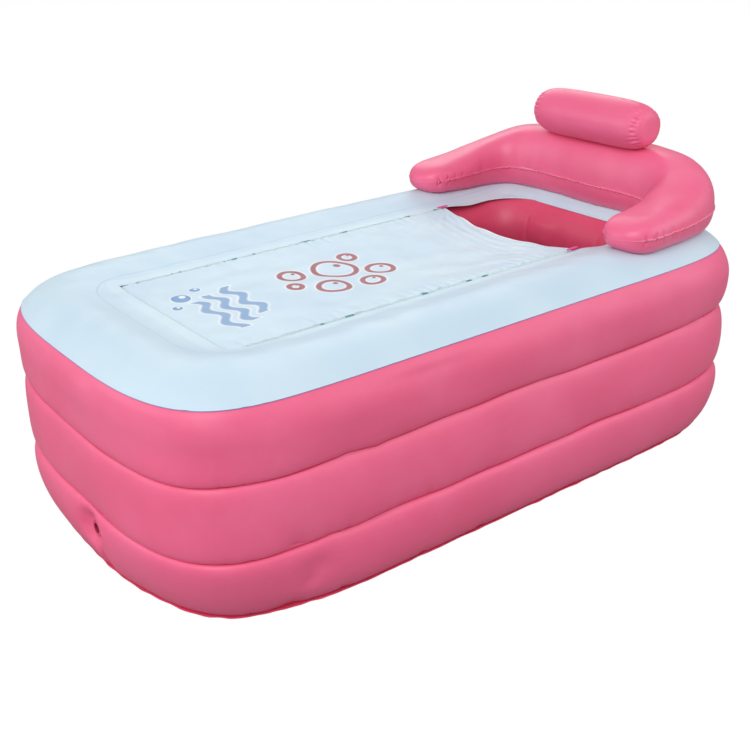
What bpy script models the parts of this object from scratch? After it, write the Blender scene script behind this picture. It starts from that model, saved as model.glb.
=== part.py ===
"""Inflatable bathtub: three stacked air rings, a zipped cover, a horseshoe backrest and a head pillow.

Metres, +Z up. The origin is on the floor under the middle of the tub, the head end is at +X.
Left and right are those of someone lying in the bath, so left is -Y.
"""
import math

import bmesh
import bpy
from mathutils import Matrix, Vector
from mathutils.bvhtree import BVHTree

# Fits and finish
GAP = 0.0003
PILLOW_SEAT_GAP = 0.0006
OVERRUN = 0.02

# Tub outline at the weld creases, a superellipse with its own powers at each end
TUB_LENGTH = 1.415
TUB_WIDTH = 0.787
FOOT_END_POWER = 9.5
FOOT_SIDE_POWER = 3.2
HEAD_END_POWER = 8.7
HEAD_SIDE_POWER = 5.0
OUTLINE_COUNT = 64
OUTLINE_BEND_WEIGHT = 0.12
STEPS_PER_POINT = 40
FOOT_X = -TUB_LENGTH / 2
HEAD_X = TUB_LENGTH / 2
SIDE_Y = TUB_WIDTH / 2

# Air rings
BASE_SHEET = 0.0012
BOTTOM_RING_TOP = 0.139
MIDDLE_RING_HEIGHT = 0.1425
MIDDLE_RING_TOP = BOTTOM_RING_TOP + MIDDLE_RING_HEIGHT
TOP_RING_SIDE = 0.0735
TOP_RING_MIDDLE = MIDDLE_RING_TOP + TOP_RING_SIDE
TOP_RING_RISE = 0.0985
TOP_RING_CREST = TOP_RING_MIDDLE + TOP_RING_RISE
RING_WALL = 0.165
OUTER_BULGE = 0.018
INNER_BULGE = 0.018
BASE_DRAW_IN = 0.022
BASE_FLANGE = 0.006
BULGE_POWER = 2.2
DRAW_IN_BULGE_SHARE = 0.25
BULGE_COUNT = 6
CREST_COUNT = 16
CREST_LEAVE_SHARE = 0.625

# Floor cushion
FLOOR_THICKNESS = 0.045
FLOOR_EDGE_THICKNESS = 0.024
FLOOR_CLEARANCE = 0.006
FLOOR_WIDTH_SHARE = 0.985
FLOOR_SIDE_POWER = 10
FLOOR_END_POWER = 14
CHANNEL_DEPTH = 0.012
CHANNEL_COUNT = 6
FLOOR_ROW_COUNT = 16
FLOOR_COLUMN_COUNT = 28

# Cover: a deck welded over the top ring, and a flap that zips into it
SKIN = 0.001
COVER_EDGE_SHARE = 0.613
COVER_DROP = 0.0175
COVER_LEVEL = TOP_RING_CREST - COVER_DROP
COVER_FALL = 0.0585
COVER_FALL_SHARES = (0.3, 0.65, 1.0)
SIDE_DECK = 0.1855
FOOT_DECK = 0.2025
HEAD_DECK = 0.1225
DECK_TRIM = 0.0575
COVER_INNER_REACH = FOOT_DECK + DECK_TRIM
ZIP_LINE = SIDE_Y - SIDE_DECK
ZIP_GAP = 0.006
FLAP_HINGE_X = FOOT_X + FOOT_DECK
OPENING_HEAD_X = HEAD_X - HEAD_DECK
OPENING_LENGTH = 0.25
OPENING_CORNER = 0.09
FLAP_EDGE_X = OPENING_HEAD_X - OPENING_LENGTH
FLAP_EDGE_DIP = 0.022
FLAP_SAG = 0.012
FLAP_AXIS_RISE = 0.0035
FLAP_AXIS_HEIGHT = COVER_LEVEL + FLAP_AXIS_RISE
CORNER_COUNT = 6
FLAP_ROW_COUNT = 16
FLAP_COLUMN_COUNT = 10

# Zips
TAPE_WIDTH = 0.014
TAPE_THICKNESS = 0.0008
COIL_SPACING = 0.0016
COIL_WIDTH = 0.0026
COIL_HEIGHT = 0.0022
COIL_SIDES = 6
ZIP_FOOT_MARGIN = 0.045
ZIP_HEAD_MARGIN = 0.012
SLIDER_LENGTH = 0.014
SLIDER_WIDTH = 0.011
SLIDER_PLATE = 0.0012
SLIDER_POST = 0.001
SLIDER_POST_LENGTH = 0.0035
SLIDER_NOSE_SHARE = 0.55
SLIDER_WAIST_SHARE = 0.1
BRIDGE_WIDTH = 0.0016
BRIDGE_LEG = 0.0012
BRIDGE_WINDOW_LENGTH = 0.0042
BRIDGE_WINDOW_HEIGHT = 0.0026
PULL_LENGTH = 0.03
PULL_WIDTH = 0.008
PULL_THICKNESS = 0.0014
PULL_BAR = 0.0017
PULL_WINDOW_LENGTH = 0.0044
PULL_WINDOW_WIDTH = 0.0034
PULL_CORNER_SHARE = 0.6
PULL_NECK_SHARE = 0.7
PULL_SHOULDER_SHARE = 0.3

# Backrest
BACKREST_INSET = 0.069
BACKREST_REACH = 0.3
BACKREST_SIDE_INSET = 0.08
BACKREST_BACK_X = HEAD_X - BACKREST_INSET
BACKREST_TIP_X = BACKREST_BACK_X - BACKREST_REACH
BACKREST_HALF_SPAN = SIDE_Y - BACKREST_SIDE_INSET
BACKREST_END_POWER = 4.7
BACKREST_SIDE_POWER = 4.6
BACKREST_COUNT = 44
BACKREST_SIDES = 16
BACKREST_BEND_WEIGHT = 0.2
BACKREST_END_PULL_SHARE = 0.75
ARM_HALF_WIDTH = 0.0535
BACK_HALF_WIDTH = 0.0745
ARM_CROWN = 0.03
BACK_CROWN = 0.103
ARM_UNDERSIDE = 0.0352
BACK_UNDERSIDE = 0.0515
ARM_SEAM_RISE = 0.031
BACK_SEAM_RISE = 0.0364
CROWN_RISE_POWER = 2.0
SECTION_SIDE_POWER = 0.75
SECTION_CROWN_POWER = 0.95
TIP_ROUNDING = 0.07
TIP_POWER = 2.2
TIP_LEAST_SHARE = 0.1

# Head pillow
PILLOW_FORWARD = 0.029
PILLOW_X = BACKREST_BACK_X - PILLOW_FORWARD
PILLOW_LENGTH = 0.328
PILLOW_RADIUS = 0.0535
PILLOW_END_POWER = 5.0
PILLOW_END_SHARE = 0.995
PILLOW_COUNT = 18
PILLOW_SIDES = 16

# Air valves, and the strapped stoppers that close them
VALVE_SIDES = 16
RING_VALVE_Y = 0.15
PILLOW_VALVE_Y = 0.09
BACKREST_VALVE_TILT = math.radians(38)
PILLOW_VALVE_TILT = math.radians(-12)
FLOOR_VALVE_INSET = 0.2875
VALVE_BORE = 0.0045
VALVE_WALL = 0.002
VALVE_DEPTH = 0.012
VALVE_FLANGE = 0.017
VALVE_PLATE = 0.0012
VALVE_STUB = 0.003
VALVE_HEAD = 0.0085
VALVE_NUB = 0.005
VALVE_STRAP = 0.001
SMALL_VALVE_SHARE = 0.8
POCKET_DEPTH = 0.003
STRAP_WIDTH_SHARE = 0.5
STRAP_REACH_SHARE = 4.5
KNUCKLE_SHARE = 0.9
KNUCKLE_SHOULDER_SHARE = 0.7
HEAD_RIM_SHARE = 1.8
NUB_CLEARANCE_SHARE = 0.1
NUB_BEVEL_SHARE = 0.25
STRAP_ROOT_SHARE = 0.8
STRAP_RISE_SHARE = 1.6
KNUCKLE_COUNT = 6

# Drain through the foot end of the bottom ring
DRAIN_Y = -0.04
DRAIN_HEIGHT = 0.088
DRAIN_RECESS = 0.014
DRAIN_DIMPLE_RADIUS = 0.045
DRAIN_BORE = 0.010
DRAIN_WALL = 0.0025
DRAIN_FLANGE = 0.024
DRAIN_PLATE = 0.0016
DRAIN_STUB = 0.005
DRAIN_HEAD = 0.0145
DRAIN_NUB = 0.008
DRAIN_STRAP = 0.0015
DIMPLE_MOUTH_SHARE = 1.5
DIMPLE_WAIST_SHARE = 0.62
DIMPLE_DEPTH_SHARE = 0.45


class Stopper:
    """Sizes of a welded nozzle and the strapped stopper that closes it."""

    def __init__(self, bore, wall, depth, flange, plate, stub, head, nub, strap, share=1):
        self.bore = bore * share
        self.neck = (bore + wall) * share
        self.depth = depth * share
        self.flange = flange * share
        self.plate = plate * share
        self.stub = stub * share
        self.top = self.plate + self.stub
        self.head = head * share
        self.nub = nub * share
        self.strap = strap * share
        self.knuckle = self.strap * KNUCKLE_SHARE
        self.hinge_reach = self.head + self.strap * STRAP_REACH_SHARE
        self.hinge_height = self.plate + GAP + self.knuckle


RING_STOPPER = Stopper(VALVE_BORE, VALVE_WALL, VALVE_DEPTH, VALVE_FLANGE, VALVE_PLATE,
                       VALVE_STUB, VALVE_HEAD, VALVE_NUB, VALVE_STRAP)
SMALL_STOPPER = Stopper(VALVE_BORE, VALVE_WALL, VALVE_DEPTH, VALVE_FLANGE, VALVE_PLATE,
                        VALVE_STUB, VALVE_HEAD, VALVE_NUB, VALVE_STRAP, SMALL_VALVE_SHARE)
DRAIN_STOPPER = Stopper(DRAIN_BORE, DRAIN_WALL, VALVE_DEPTH, DRAIN_FLANGE, DRAIN_PLATE,
                        DRAIN_STUB, DRAIN_HEAD, DRAIN_NUB, DRAIN_STRAP)

# Materials: base colour, roughness, metallic
PINK = ("pink_pvc", (0.78, 0.16, 0.30), 0.42, 0.0)
DEEP_PINK = ("deep_pink_pvc", (0.62, 0.07, 0.17), 0.45, 0.0)
BLUE = ("cover_blue", (0.62, 0.76, 0.86), 0.5, 0.0)
MINT = ("zip_tape", (0.55, 0.80, 0.78), 0.8, 0.0)
COIL = ("zip_coil", (0.50, 0.76, 0.74), 0.5, 0.0)
METAL = ("slider_enamel", (0.72, 0.80, 0.82), 0.35, 0.3)
PULL_PINK = ("pull_pink", (0.85, 0.12, 0.45), 0.4, 0.0)
CLEAR = ("valve_vinyl", (0.86, 0.80, 0.82), 0.3, 0.0)


def clear_scene():
    for item in list(bpy.data.objects):
        bpy.data.objects.remove(item, do_unlink=True)


def material(spec):
    name, colour, roughness, metallic = spec
    made = bpy.data.materials.get(name)
    if made is None:
        made = bpy.data.materials.new(name)
        made.use_nodes = True
        shader = made.node_tree.nodes["Principled BSDF"]
        shader.inputs["Base Color"].default_value = (*colour, 1)
        shader.inputs["Roughness"].default_value = roughness
        shader.inputs["Metallic"].default_value = metallic
    return made


def add_object(name, verts, faces, spec=None):
    """A closed mesh object with its faces pointing out; without a material it is a guide."""
    mesh = bpy.data.meshes.new(name)
    mesh.from_pydata([tuple(v) for v in verts], [], faces)
    work = bmesh.new()
    work.from_mesh(mesh)
    bmesh.ops.recalc_face_normals(work, faces=work.faces)
    work.to_mesh(mesh)
    work.free()
    made = bpy.data.objects.new(name, mesh)
    bpy.context.collection.objects.link(made)
    if spec is None:
        made.hide_render = True
        made.display_type = "WIRE"
    else:
        mesh.materials.append(material(spec))
        mesh.shade_smooth()
        mesh.set_sharp_from_angle(angle=math.radians(40))
    return made


def combine(target, other, operation):
    step = target.modifiers.new(operation.lower(), "BOOLEAN")
    step.operation = operation
    step.solver = "EXACT"
    step.object = other


def move_origin(thing, pivot):
    """Put a piece's origin on its joint, and leave its shape where it is."""
    thing.data.transform(Matrix.Translation(-Vector(pivot)))
    thing.location = pivot


def evaluated_tree(thing):
    bpy.context.view_layer.update()
    graph = bpy.context.evaluated_depsgraph_get()
    return BVHTree.FromObject(thing, graph)


def loft(loops):
    """Faces that skin a list of closed loops, and join the last loop to the first."""
    count = len(loops[0])
    verts = [point for loop in loops for point in loop]
    faces = []
    for row in range(len(loops)):
        after = (row + 1) % len(loops)
        for i in range(count):
            j = (i + 1) % count
            faces.append((row * count + i, row * count + j, after * count + j, after * count + i))
    return verts, faces


def capped_loft(loops):
    """Faces that skin a list of closed loops and close both ends with a flat face."""
    verts, faces = loft(loops)
    count = len(loops[0])
    faces = faces[:-count]
    faces.append(tuple(range(count)))
    faces.append(tuple(range(len(verts) - count, len(verts))))
    return verts, faces


def extrude(points, direction):
    """Prism on a flat outline."""
    first = [Vector(p) for p in points]
    second = [p + Vector(direction) for p in first]
    return capped_loft([first, second])


def turned(profile, sides):
    """Loops of a profile of (radius, height) points turned about local Z."""
    loops = []
    for radius, height in profile:
        turns = [2 * math.pi * i / sides for i in range(sides)]
        loops.append([Vector((radius * math.cos(a), radius * math.sin(a), height)) for a in turns])
    return loops


def signed_power(value, power):
    return math.copysign(abs(value) ** power, value)


def outline_point(turn, inset):
    """Point of the tub outline, moved in by the inset, at this turn about the middle."""
    across, along = math.sin(turn), math.cos(turn)
    end_power = HEAD_END_POWER if along > 0 else FOOT_END_POWER
    side_power = HEAD_SIDE_POWER if along > 0 else FOOT_SIDE_POWER
    x = (HEAD_X - inset) * signed_power(along, 2 / end_power)
    y = (SIDE_Y - inset) * signed_power(across, 2 / side_power)
    return x, y


def even_turns(point_at, first, last, count, bend_weight, closed, end_pull_share=0.0):
    """Turns that spread points along a curve, closer together at its bends and, if wanted, its ends."""
    fine = count * STEPS_PER_POINT
    turns = [first + (last - first) * (1 - math.cos(math.pi * i / fine)) / 2 for i in range(fine + 1)]
    points = [Vector(point_at(turn)) for turn in turns]
    steps = [points[i + 1] - points[i] for i in range(fine)]
    whole = sum(step.length for step in steps)
    measure = [0.0]
    for i, step in enumerate(steps):
        bend = step.angle(steps[i - 1], 0.0) if i else 0.0
        measure.append(measure[-1] + step.length / whole + bend_weight * bend)
    wanted = count if closed else count - 1
    chosen, k = [], 0
    for i in range(count):
        share = i / wanted
        eased = (1 - math.cos(math.pi * share)) / 2
        share += (eased - share) * end_pull_share
        target = measure[-1] * share
        while k < fine - 1 and measure[k + 1] < target:
            k += 1
        within = (target - measure[k]) / (measure[k + 1] - measure[k])
        chosen.append(turns[k] + (turns[k + 1] - turns[k]) * within)
    return chosen


OUTLINE_TURNS = even_turns(lambda turn: outline_point(turn, 0), 0, 2 * math.pi,
                           OUTLINE_COUNT, OUTLINE_BEND_WEIGHT, True)


def outline_loop(inset, height):
    return [Vector((*outline_point(turn, inset), height)) for turn in OUTLINE_TURNS]


def swept_ring(profile):
    """Sweep a closed profile of (inset, height) points round the tub outline."""
    return loft([outline_loop(inset, height) for inset, height in profile])


def wall_points(low, high, inset_low, inset_high, bulge):
    """Points up one bulging ring wall, from weld to weld, packed towards the welds."""
    points = []
    for i in range(BULGE_COUNT + 1):
        turn = math.pi * i / BULGE_COUNT
        share = (1 - math.cos(turn)) / 2
        out = bulge * abs(math.sin(turn)) ** (2 / BULGE_POWER)
        points.append((inset_low + (inset_high - inset_low) * share - out, low + (high - low) * share))
    return points


def lower_ring_profile(low, high, draw_in):
    outer = wall_points(low, high, draw_in, 0, OUTER_BULGE + draw_in * DRAW_IN_BULGE_SHARE)
    inner = wall_points(low, high, RING_WALL, RING_WALL, -INNER_BULGE)
    return outer + inner[::-1]


def crest_point(turn, extra):
    """Point over the top ring's rounded crest, from its outer wall at 0 to its inner wall at a half turn."""
    half_wall = RING_WALL / 2
    bulge = OUTER_BULGE if math.cos(turn) > 0 else INNER_BULGE
    out = (half_wall + bulge + extra) * math.cos(turn)
    rise = (TOP_RING_RISE + extra) * math.sin(turn)
    return half_wall - out, TOP_RING_MIDDLE + rise


def top_ring_profile():
    low = MIDDLE_RING_TOP + GAP
    rise = TOP_RING_MIDDLE - low
    half = BULGE_COUNT // 2
    outer, inner = [], []
    for i in range(half):
        turn = math.pi / 2 * i / half
        out = math.sin(turn) ** (2 / BULGE_POWER)
        height = low + rise * (1 - math.cos(turn))
        outer.append((-OUTER_BULGE * out, height))
        inner.append((RING_WALL + INNER_BULGE * out, height))
    crest = [crest_point(math.pi * i / CREST_COUNT, 0) for i in range(CREST_COUNT + 1)]
    return outer + crest + inner[::-1]


def cover_edge_turn():
    return math.asin(COVER_EDGE_SHARE)


def deck_points(extra):
    """The deck's section: over the ring's crest, then falling to its flat middle level."""
    points = [crest_point(cover_edge_turn(), extra)]
    step = math.pi / CREST_COUNT
    first = math.ceil(cover_edge_turn() / step + 0.25)
    last = round(CREST_COUNT * CREST_LEAVE_SHARE)
    for i in range(first, last + 1):
        points.append(crest_point(step * i, extra))
    level = COVER_LEVEL - SKIN - GAP + extra
    leave_inset, leave_height = points[-1]
    for share in COVER_FALL_SHARES:
        height = level + (leave_height - level) * (1 - share) ** 2
        points.append((leave_inset + COVER_FALL * share, height))
    points.append((COVER_INNER_REACH, level))
    return points


def make_base_sheet():
    loops = [outline_loop(BASE_DRAW_IN - BASE_FLANGE, height) for height in (0, BASE_SHEET)]
    add_object("base_sheet", *capped_loft(loops), DEEP_PINK)


def make_rings():
    low = BASE_SHEET + GAP
    bottom = lower_ring_profile(low, BOTTOM_RING_TOP - GAP, BASE_DRAW_IN)
    middle = lower_ring_profile(BOTTOM_RING_TOP, MIDDLE_RING_TOP, 0)
    rings = {}
    for name, profile in (("bottom_ring", bottom), ("middle_ring", middle),
                          ("top_ring", top_ring_profile())):
        rings[name] = add_object(name, *swept_ring(profile), PINK)
    return rings


def floor_half_length(y):
    inset = RING_WALL + INNER_BULGE + FLOOR_CLEARANCE
    across = min(abs(y) / (SIDE_Y - inset), 1)
    foot = (HEAD_X - inset) * (1 - across ** FOOT_SIDE_POWER) ** (1 / FOOT_END_POWER)
    head = (HEAD_X - inset) * (1 - across ** HEAD_SIDE_POWER) ** (1 / HEAD_END_POWER)
    return foot, head


def floor_half_width():
    return (SIDE_Y - RING_WALL - INNER_BULGE - FLOOR_CLEARANCE) * FLOOR_WIDTH_SHARE


def make_floor_cushion():
    """Air mattress with welded channels along the tub."""
    low = BASE_SHEET + GAP
    half = floor_half_width()
    columns = FLOOR_COLUMN_COUNT
    tops, bottoms = [], []
    for j in range(columns + 1):
        y = half * (2 * j / columns - 1)
        foot, head = floor_half_length(y)
        channel = abs(math.sin(math.pi * CHANNEL_COUNT * j / columns))
        side = 1 - abs(2 * j / columns - 1) ** FLOOR_SIDE_POWER
        top, bottom = [], []
        for i in range(FLOOR_ROW_COUNT + 1):
            share = (1 - math.cos(math.pi * i / FLOOR_ROW_COUNT)) / 2
            end = 1 - abs(2 * share - 1) ** FLOOR_END_POWER
            full = FLOOR_THICKNESS - CHANNEL_DEPTH * (1 - channel)
            height = FLOOR_EDGE_THICKNESS + (full - FLOOR_EDGE_THICKNESS) * side * end
            x = -foot + (foot + head) * share
            top.append(Vector((x, y, low + height)))
            bottom.append(Vector((x, y, low)))
        tops.append(top)
        bottoms.append(bottom)
    return add_object("floor_cushion", *grid_solid(tops, bottoms), DEEP_PINK)


def grid_solid(tops, bottoms):
    """Closed solid between two grids of points."""
    rows, columns = len(tops), len(tops[0])
    verts = [p for row in tops for p in row] + [p for row in bottoms for p in row]
    offset = rows * columns
    faces = []
    for j in range(rows - 1):
        for i in range(columns - 1):
            quad = (j * columns + i, j * columns + i + 1, (j + 1) * columns + i + 1, (j + 1) * columns + i)
            faces.append(quad)
            faces.append(tuple(offset + k for k in reversed(quad)))
    rim = [(0, i) for i in range(columns)] + [(j, columns - 1) for j in range(1, rows)]
    rim += [(rows - 1, i) for i in range(columns - 2, -1, -1)] + [(j, 0) for j in range(rows - 2, 0, -1)]
    for k, (j, i) in enumerate(rim):
        jj, ii = rim[(k + 1) % len(rim)]
        a, b = j * columns + i, jj * columns + ii
        faces.append((a, b, offset + b, offset + a))
    return verts, faces


def make_deck():
    lower = deck_points(GAP)
    upper = deck_points(GAP + SKIN)
    deck = add_object("cover_deck", *swept_ring(upper + lower[::-1]), BLUE)
    hole = opening_outline()
    low = COVER_LEVEL - OVERRUN
    cutter = add_object("deck_hole", *extrude([(x, y, low) for x, y in hole], (0, 0, 2 * OVERRUN)))
    combine(deck, cutter, "DIFFERENCE")
    return deck


def opening_outline():
    """The deck's long hole: square at the flap's hinge, rounded at the head end."""
    half = ZIP_LINE + ZIP_GAP
    points = [(FLAP_HINGE_X, half), (FLAP_HINGE_X, -half)]
    corner_x = OPENING_HEAD_X - OPENING_CORNER
    corner_y = half - OPENING_CORNER
    for sign in (-1, 1):
        for i in range(CORNER_COUNT + 1):
            turn = math.pi / 2 * i / CORNER_COUNT
            turn = turn if sign > 0 else math.pi / 2 - turn
            x = corner_x + OPENING_CORNER * math.cos(turn)
            points.append((x, sign * (corner_y + OPENING_CORNER * math.sin(turn))))
    return points


def make_flap():
    """Rectangular panel between the zips, with a slack, hollow free edge at the head end."""
    half = ZIP_LINE - ZIP_GAP
    slack = ZIP_LINE - COIL_SPACING / 2 - TAPE_WIDTH - GAP
    start = FLAP_HINGE_X + GAP
    lines = [slack * (2 * j / FLAP_COLUMN_COUNT - 1) for j in range(FLAP_COLUMN_COUNT + 1)]
    tops, bottoms = [], []
    for y in [-half] + lines + [half]:
        end = FLAP_EDGE_X - FLAP_EDGE_DIP * (1 - (y / half) ** 2)
        depth = FLAP_SAG * max(1 - (y / slack) ** 2, 0)
        top, bottom = [], []
        for i in range(FLAP_ROW_COUNT + 1):
            along = i / FLAP_ROW_COUNT
            sag = depth * math.sin(math.pi / 2 * along) ** 2
            point = Vector((start + (end - start) * along, y, COVER_LEVEL - sag))
            top.append(point)
            bottom.append(point - Vector((0, 0, SKIN)))
        tops.append(top)
        bottoms.append(bottom)
    flap = add_object("cover_flap", *grid_solid(tops, bottoms), BLUE)
    move_origin(flap, (FLAP_HINGE_X, 0, FLAP_AXIS_HEIGHT))
    return flap


def zip_levels():
    """Heights of the tape, the coil and the slider's plates, worked up from the cover's underside."""
    tape_top = COVER_LEVEL - SKIN - GAP
    coil_low = tape_top + GAP
    coil_top = coil_low + COIL_HEIGHT
    return tape_top, coil_low, coil_top


def bar(x_low, x_high, section):
    """Prism along X on a section of (y, z) points."""
    points = [(x_low, y, z) for y, z in section]
    return extrude(points, (x_high - x_low, 0, 0))


def make_zip(side_name, side):
    """One zip: a tape and a coil on the deck, a tape and a coil on the flap."""
    tape_top, coil_low, coil_top = zip_levels()
    start = FLAP_HINGE_X + ZIP_FOOT_MARGIN
    end = FLAP_EDGE_X - ZIP_HEAD_MARGIN
    for owner, way in (("deck", side), ("flap", -side)):
        near = side * ZIP_LINE + way * COIL_SPACING / 2
        far = near + way * TAPE_WIDTH
        section = [(near, tape_top - TAPE_THICKNESS), (far, tape_top - TAPE_THICKNESS),
                   (far, tape_top), (near, tape_top)]
        tape = add_object(f"zip_tape_{owner}_{side_name}", *bar(start, end, section), MINT)
        section = []
        for i in range(COIL_SIDES + 1):
            turn = math.pi * i / COIL_SIDES
            y = near + way * COIL_WIDTH * (1 - math.cos(turn)) / 2
            section.append((y, coil_low + COIL_HEIGHT * math.sin(turn)))
        coil = add_object(f"zip_coil_{owner}_{side_name}", *bar(start, end, section), COIL)
        if owner == "flap":
            for thing in (tape, coil):
                move_origin(thing, (FLAP_HINGE_X, 0, FLAP_AXIS_HEIGHT))


def slider_x():
    return FLAP_EDGE_X - ZIP_HEAD_MARGIN - SLIDER_LENGTH / 2


def slider_top():
    return zip_levels()[2] + GAP + SLIDER_PLATE


def pull_axis_height():
    return slider_top() + BRIDGE_WINDOW_HEIGHT / 2


def slider_outline(x, low_share, high_share):
    """Shield shape of a slider plate between two shares of its width, broad end towards the head."""
    back, front = x - SLIDER_LENGTH / 2, x + SLIDER_LENGTH / 2
    waist = x + SLIDER_LENGTH * SLIDER_WAIST_SHARE
    half = SLIDER_WIDTH / 2
    narrow = half * SLIDER_NOSE_SHARE
    return [(back, narrow * low_share), (waist, half * low_share), (front, half * low_share),
            (front, half * high_share), (waist, half * high_share), (back, narrow * high_share)]


def plate(outline, y_shift, way, low, thickness):
    points = [(x, y_shift + way * y, low) for x, y in outline]
    return extrude(points, (0, 0, thickness))


def box(low, high):
    points = [(low[0], low[1], low[2]), (high[0], low[1], low[2]),
              (high[0], high[1], low[2]), (low[0], high[1], low[2])]
    return extrude(points, (0, 0, high[2] - low[2]))


def make_slider(side_name, side):
    """Slider: top plate over both coils, post between them, lower jaw under the flap's tape, bridge."""
    tape_top, coil_low, coil_top = zip_levels()
    x, y = slider_x(), side * ZIP_LINE
    top_low = coil_top + GAP
    jaw_low = tape_top - TAPE_THICKNESS - GAP - SLIDER_PLATE
    slider = add_object(f"zip_slider_{side_name}",
                        *plate(slider_outline(x, -1, 1), y, 1, top_low, SLIDER_PLATE), METAL)
    front = x + SLIDER_LENGTH / 2
    half_post = SLIDER_POST / 2
    post = box((front - SLIDER_POST_LENGTH, y - half_post, jaw_low + SLIDER_PLATE / 2),
               (front - SLIDER_PLATE / 2, y + half_post, top_low + SLIDER_PLATE / 2))
    jaw = plate(slider_outline(x, -half_post / (SLIDER_WIDTH / 2), 1), y, -side, jaw_low, SLIDER_PLATE)
    for part_name, shape in (("post", post), ("jaw", jaw), ("bridge", bridge(x, y))):
        combine(slider, add_object(f"{part_name}_{side_name}", *shape), "UNION")
    move_origin(slider, (x, y, top_low))
    return slider


def bridge(x, y):
    """Arch along the slider that the pull's bar turns in."""
    low = slider_top()
    foot = low - SLIDER_PLATE / 2
    half_in = BRIDGE_WINDOW_LENGTH / 2
    half_out = half_in + BRIDGE_LEG
    inner = low + BRIDGE_WINDOW_HEIGHT
    outer = inner + BRIDGE_LEG
    side = y - BRIDGE_WIDTH / 2
    outline = [(x - half_out, side, foot), (x - half_in, side, foot), (x - half_in, side, inner),
               (x + half_in, side, inner), (x + half_in, side, foot), (x + half_out, side, foot),
               (x + half_out, side, outer - BRIDGE_LEG / 2), (x + half_in, side, outer),
               (x - half_in, side, outer), (x - half_out, side, outer - BRIDGE_LEG / 2)]
    return extrude(outline, (0, BRIDGE_WIDTH, 0))


def make_pull(side_name, side):
    """Flat tab with a window whose end bar lies in the bridge; its origin is on the bar's axis."""
    half = PULL_WIDTH / 2
    back = -PULL_BAR / 2
    neck = half * PULL_NECK_SHARE
    corner = half * PULL_CORNER_SHARE
    shoulder = PULL_LENGTH * PULL_SHOULDER_SHARE
    outline = [(back, -neck), (back, neck), (shoulder, half), (PULL_LENGTH - corner, half),
               (PULL_LENGTH, half - corner), (PULL_LENGTH, corner - half),
               (PULL_LENGTH - corner, -half), (shoulder, -half)]
    low = -PULL_THICKNESS / 2
    points = [(px, py, low) for px, py in outline]
    pull = add_object(f"zip_pull_{side_name}", *extrude(points, (0, 0, PULL_THICKNESS)), PULL_PINK)
    window = box((PULL_BAR / 2, -PULL_WINDOW_WIDTH / 2, low - OVERRUN),
                 (PULL_BAR / 2 + PULL_WINDOW_LENGTH, PULL_WINDOW_WIDTH / 2, low + OVERRUN))
    cutter = add_object(f"pull_window_{side_name}", *window)
    combine(pull, cutter, "DIFFERENCE")
    for thing in (pull, cutter):
        thing.location = (slider_x(), side * ZIP_LINE, pull_axis_height())
    return pull


def backrest_line(turn):
    """Middle line of the horseshoe in plan, from the left tip at 0 to the right tip at a half turn."""
    reach = abs(math.sin(turn)) ** (2 / BACKREST_END_POWER)
    x = BACKREST_TIP_X + BACKREST_REACH * reach
    y = -BACKREST_HALF_SPAN * signed_power(math.cos(turn), 2 / BACKREST_SIDE_POWER)
    return x, y


def backrest_section(centre, across, back_share, tip_share):
    """One section: a full crown over the seam and a shallower underside."""
    half = (ARM_HALF_WIDTH + (BACK_HALF_WIDTH - ARM_HALF_WIDTH) * back_share) * tip_share
    crown = (ARM_CROWN + (BACK_CROWN - ARM_CROWN) * back_share ** CROWN_RISE_POWER) * tip_share
    under = (ARM_UNDERSIDE + (BACK_UNDERSIDE - ARM_UNDERSIDE) * back_share) * tip_share
    seam = TOP_RING_CREST + ARM_SEAM_RISE + (BACK_SEAM_RISE - ARM_SEAM_RISE) * back_share
    loop = []
    for i in range(BACKREST_SIDES):
        turn = 2 * math.pi * i / BACKREST_SIDES
        out = half * signed_power(math.cos(turn), SECTION_SIDE_POWER)
        height = crown if math.sin(turn) > 0 else under
        rise = height * signed_power(math.sin(turn), SECTION_CROWN_POWER)
        loop.append(Vector((centre[0], centre[1], seam + rise)) + across * out)
    return loop


def make_backrest():
    turns = even_turns(backrest_line, 0, math.pi, BACKREST_COUNT, BACKREST_BEND_WEIGHT, False,
                       BACKREST_END_PULL_SHARE)
    points = [Vector((*backrest_line(turn), 0)) for turn in turns]
    travelled = [0.0]
    for i in range(1, len(points)):
        travelled.append(travelled[-1] + (points[i] - points[i - 1]).length)
    loops = []
    for i, point in enumerate(points):
        before, after = points[max(i - 1, 0)], points[min(i + 1, len(points) - 1)]
        along = (after - before).normalized()
        across = Vector((along.y, -along.x, 0))
        back_share = max(point.x - BACKREST_TIP_X, 0) / BACKREST_REACH
        from_tip = min(travelled[i], travelled[-1] - travelled[i])
        short = max(1 - from_tip / TIP_ROUNDING, 0)
        tip_share = max((1 - short ** TIP_POWER) ** (1 / TIP_POWER), TIP_LEAST_SHARE)
        loops.append(backrest_section(point, across, back_share, tip_share))
    backrest = add_object("backrest", *capped_loft(loops), PINK)
    sink_flat(backrest)
    return backrest


def sink_flat(thing):
    """Cut away what would sink into the deck, so that the underside takes the deck's shape."""
    over_deck = deck_points(GAP + SKIN + GAP)
    low = TOP_RING_MIDDLE
    profile = [(over_deck[0][0], low)] + over_deck + [(COVER_INNER_REACH, low)]
    cutter = add_object("deck_seat", *swept_ring(profile))
    combine(thing, cutter, "DIFFERENCE")


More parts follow.
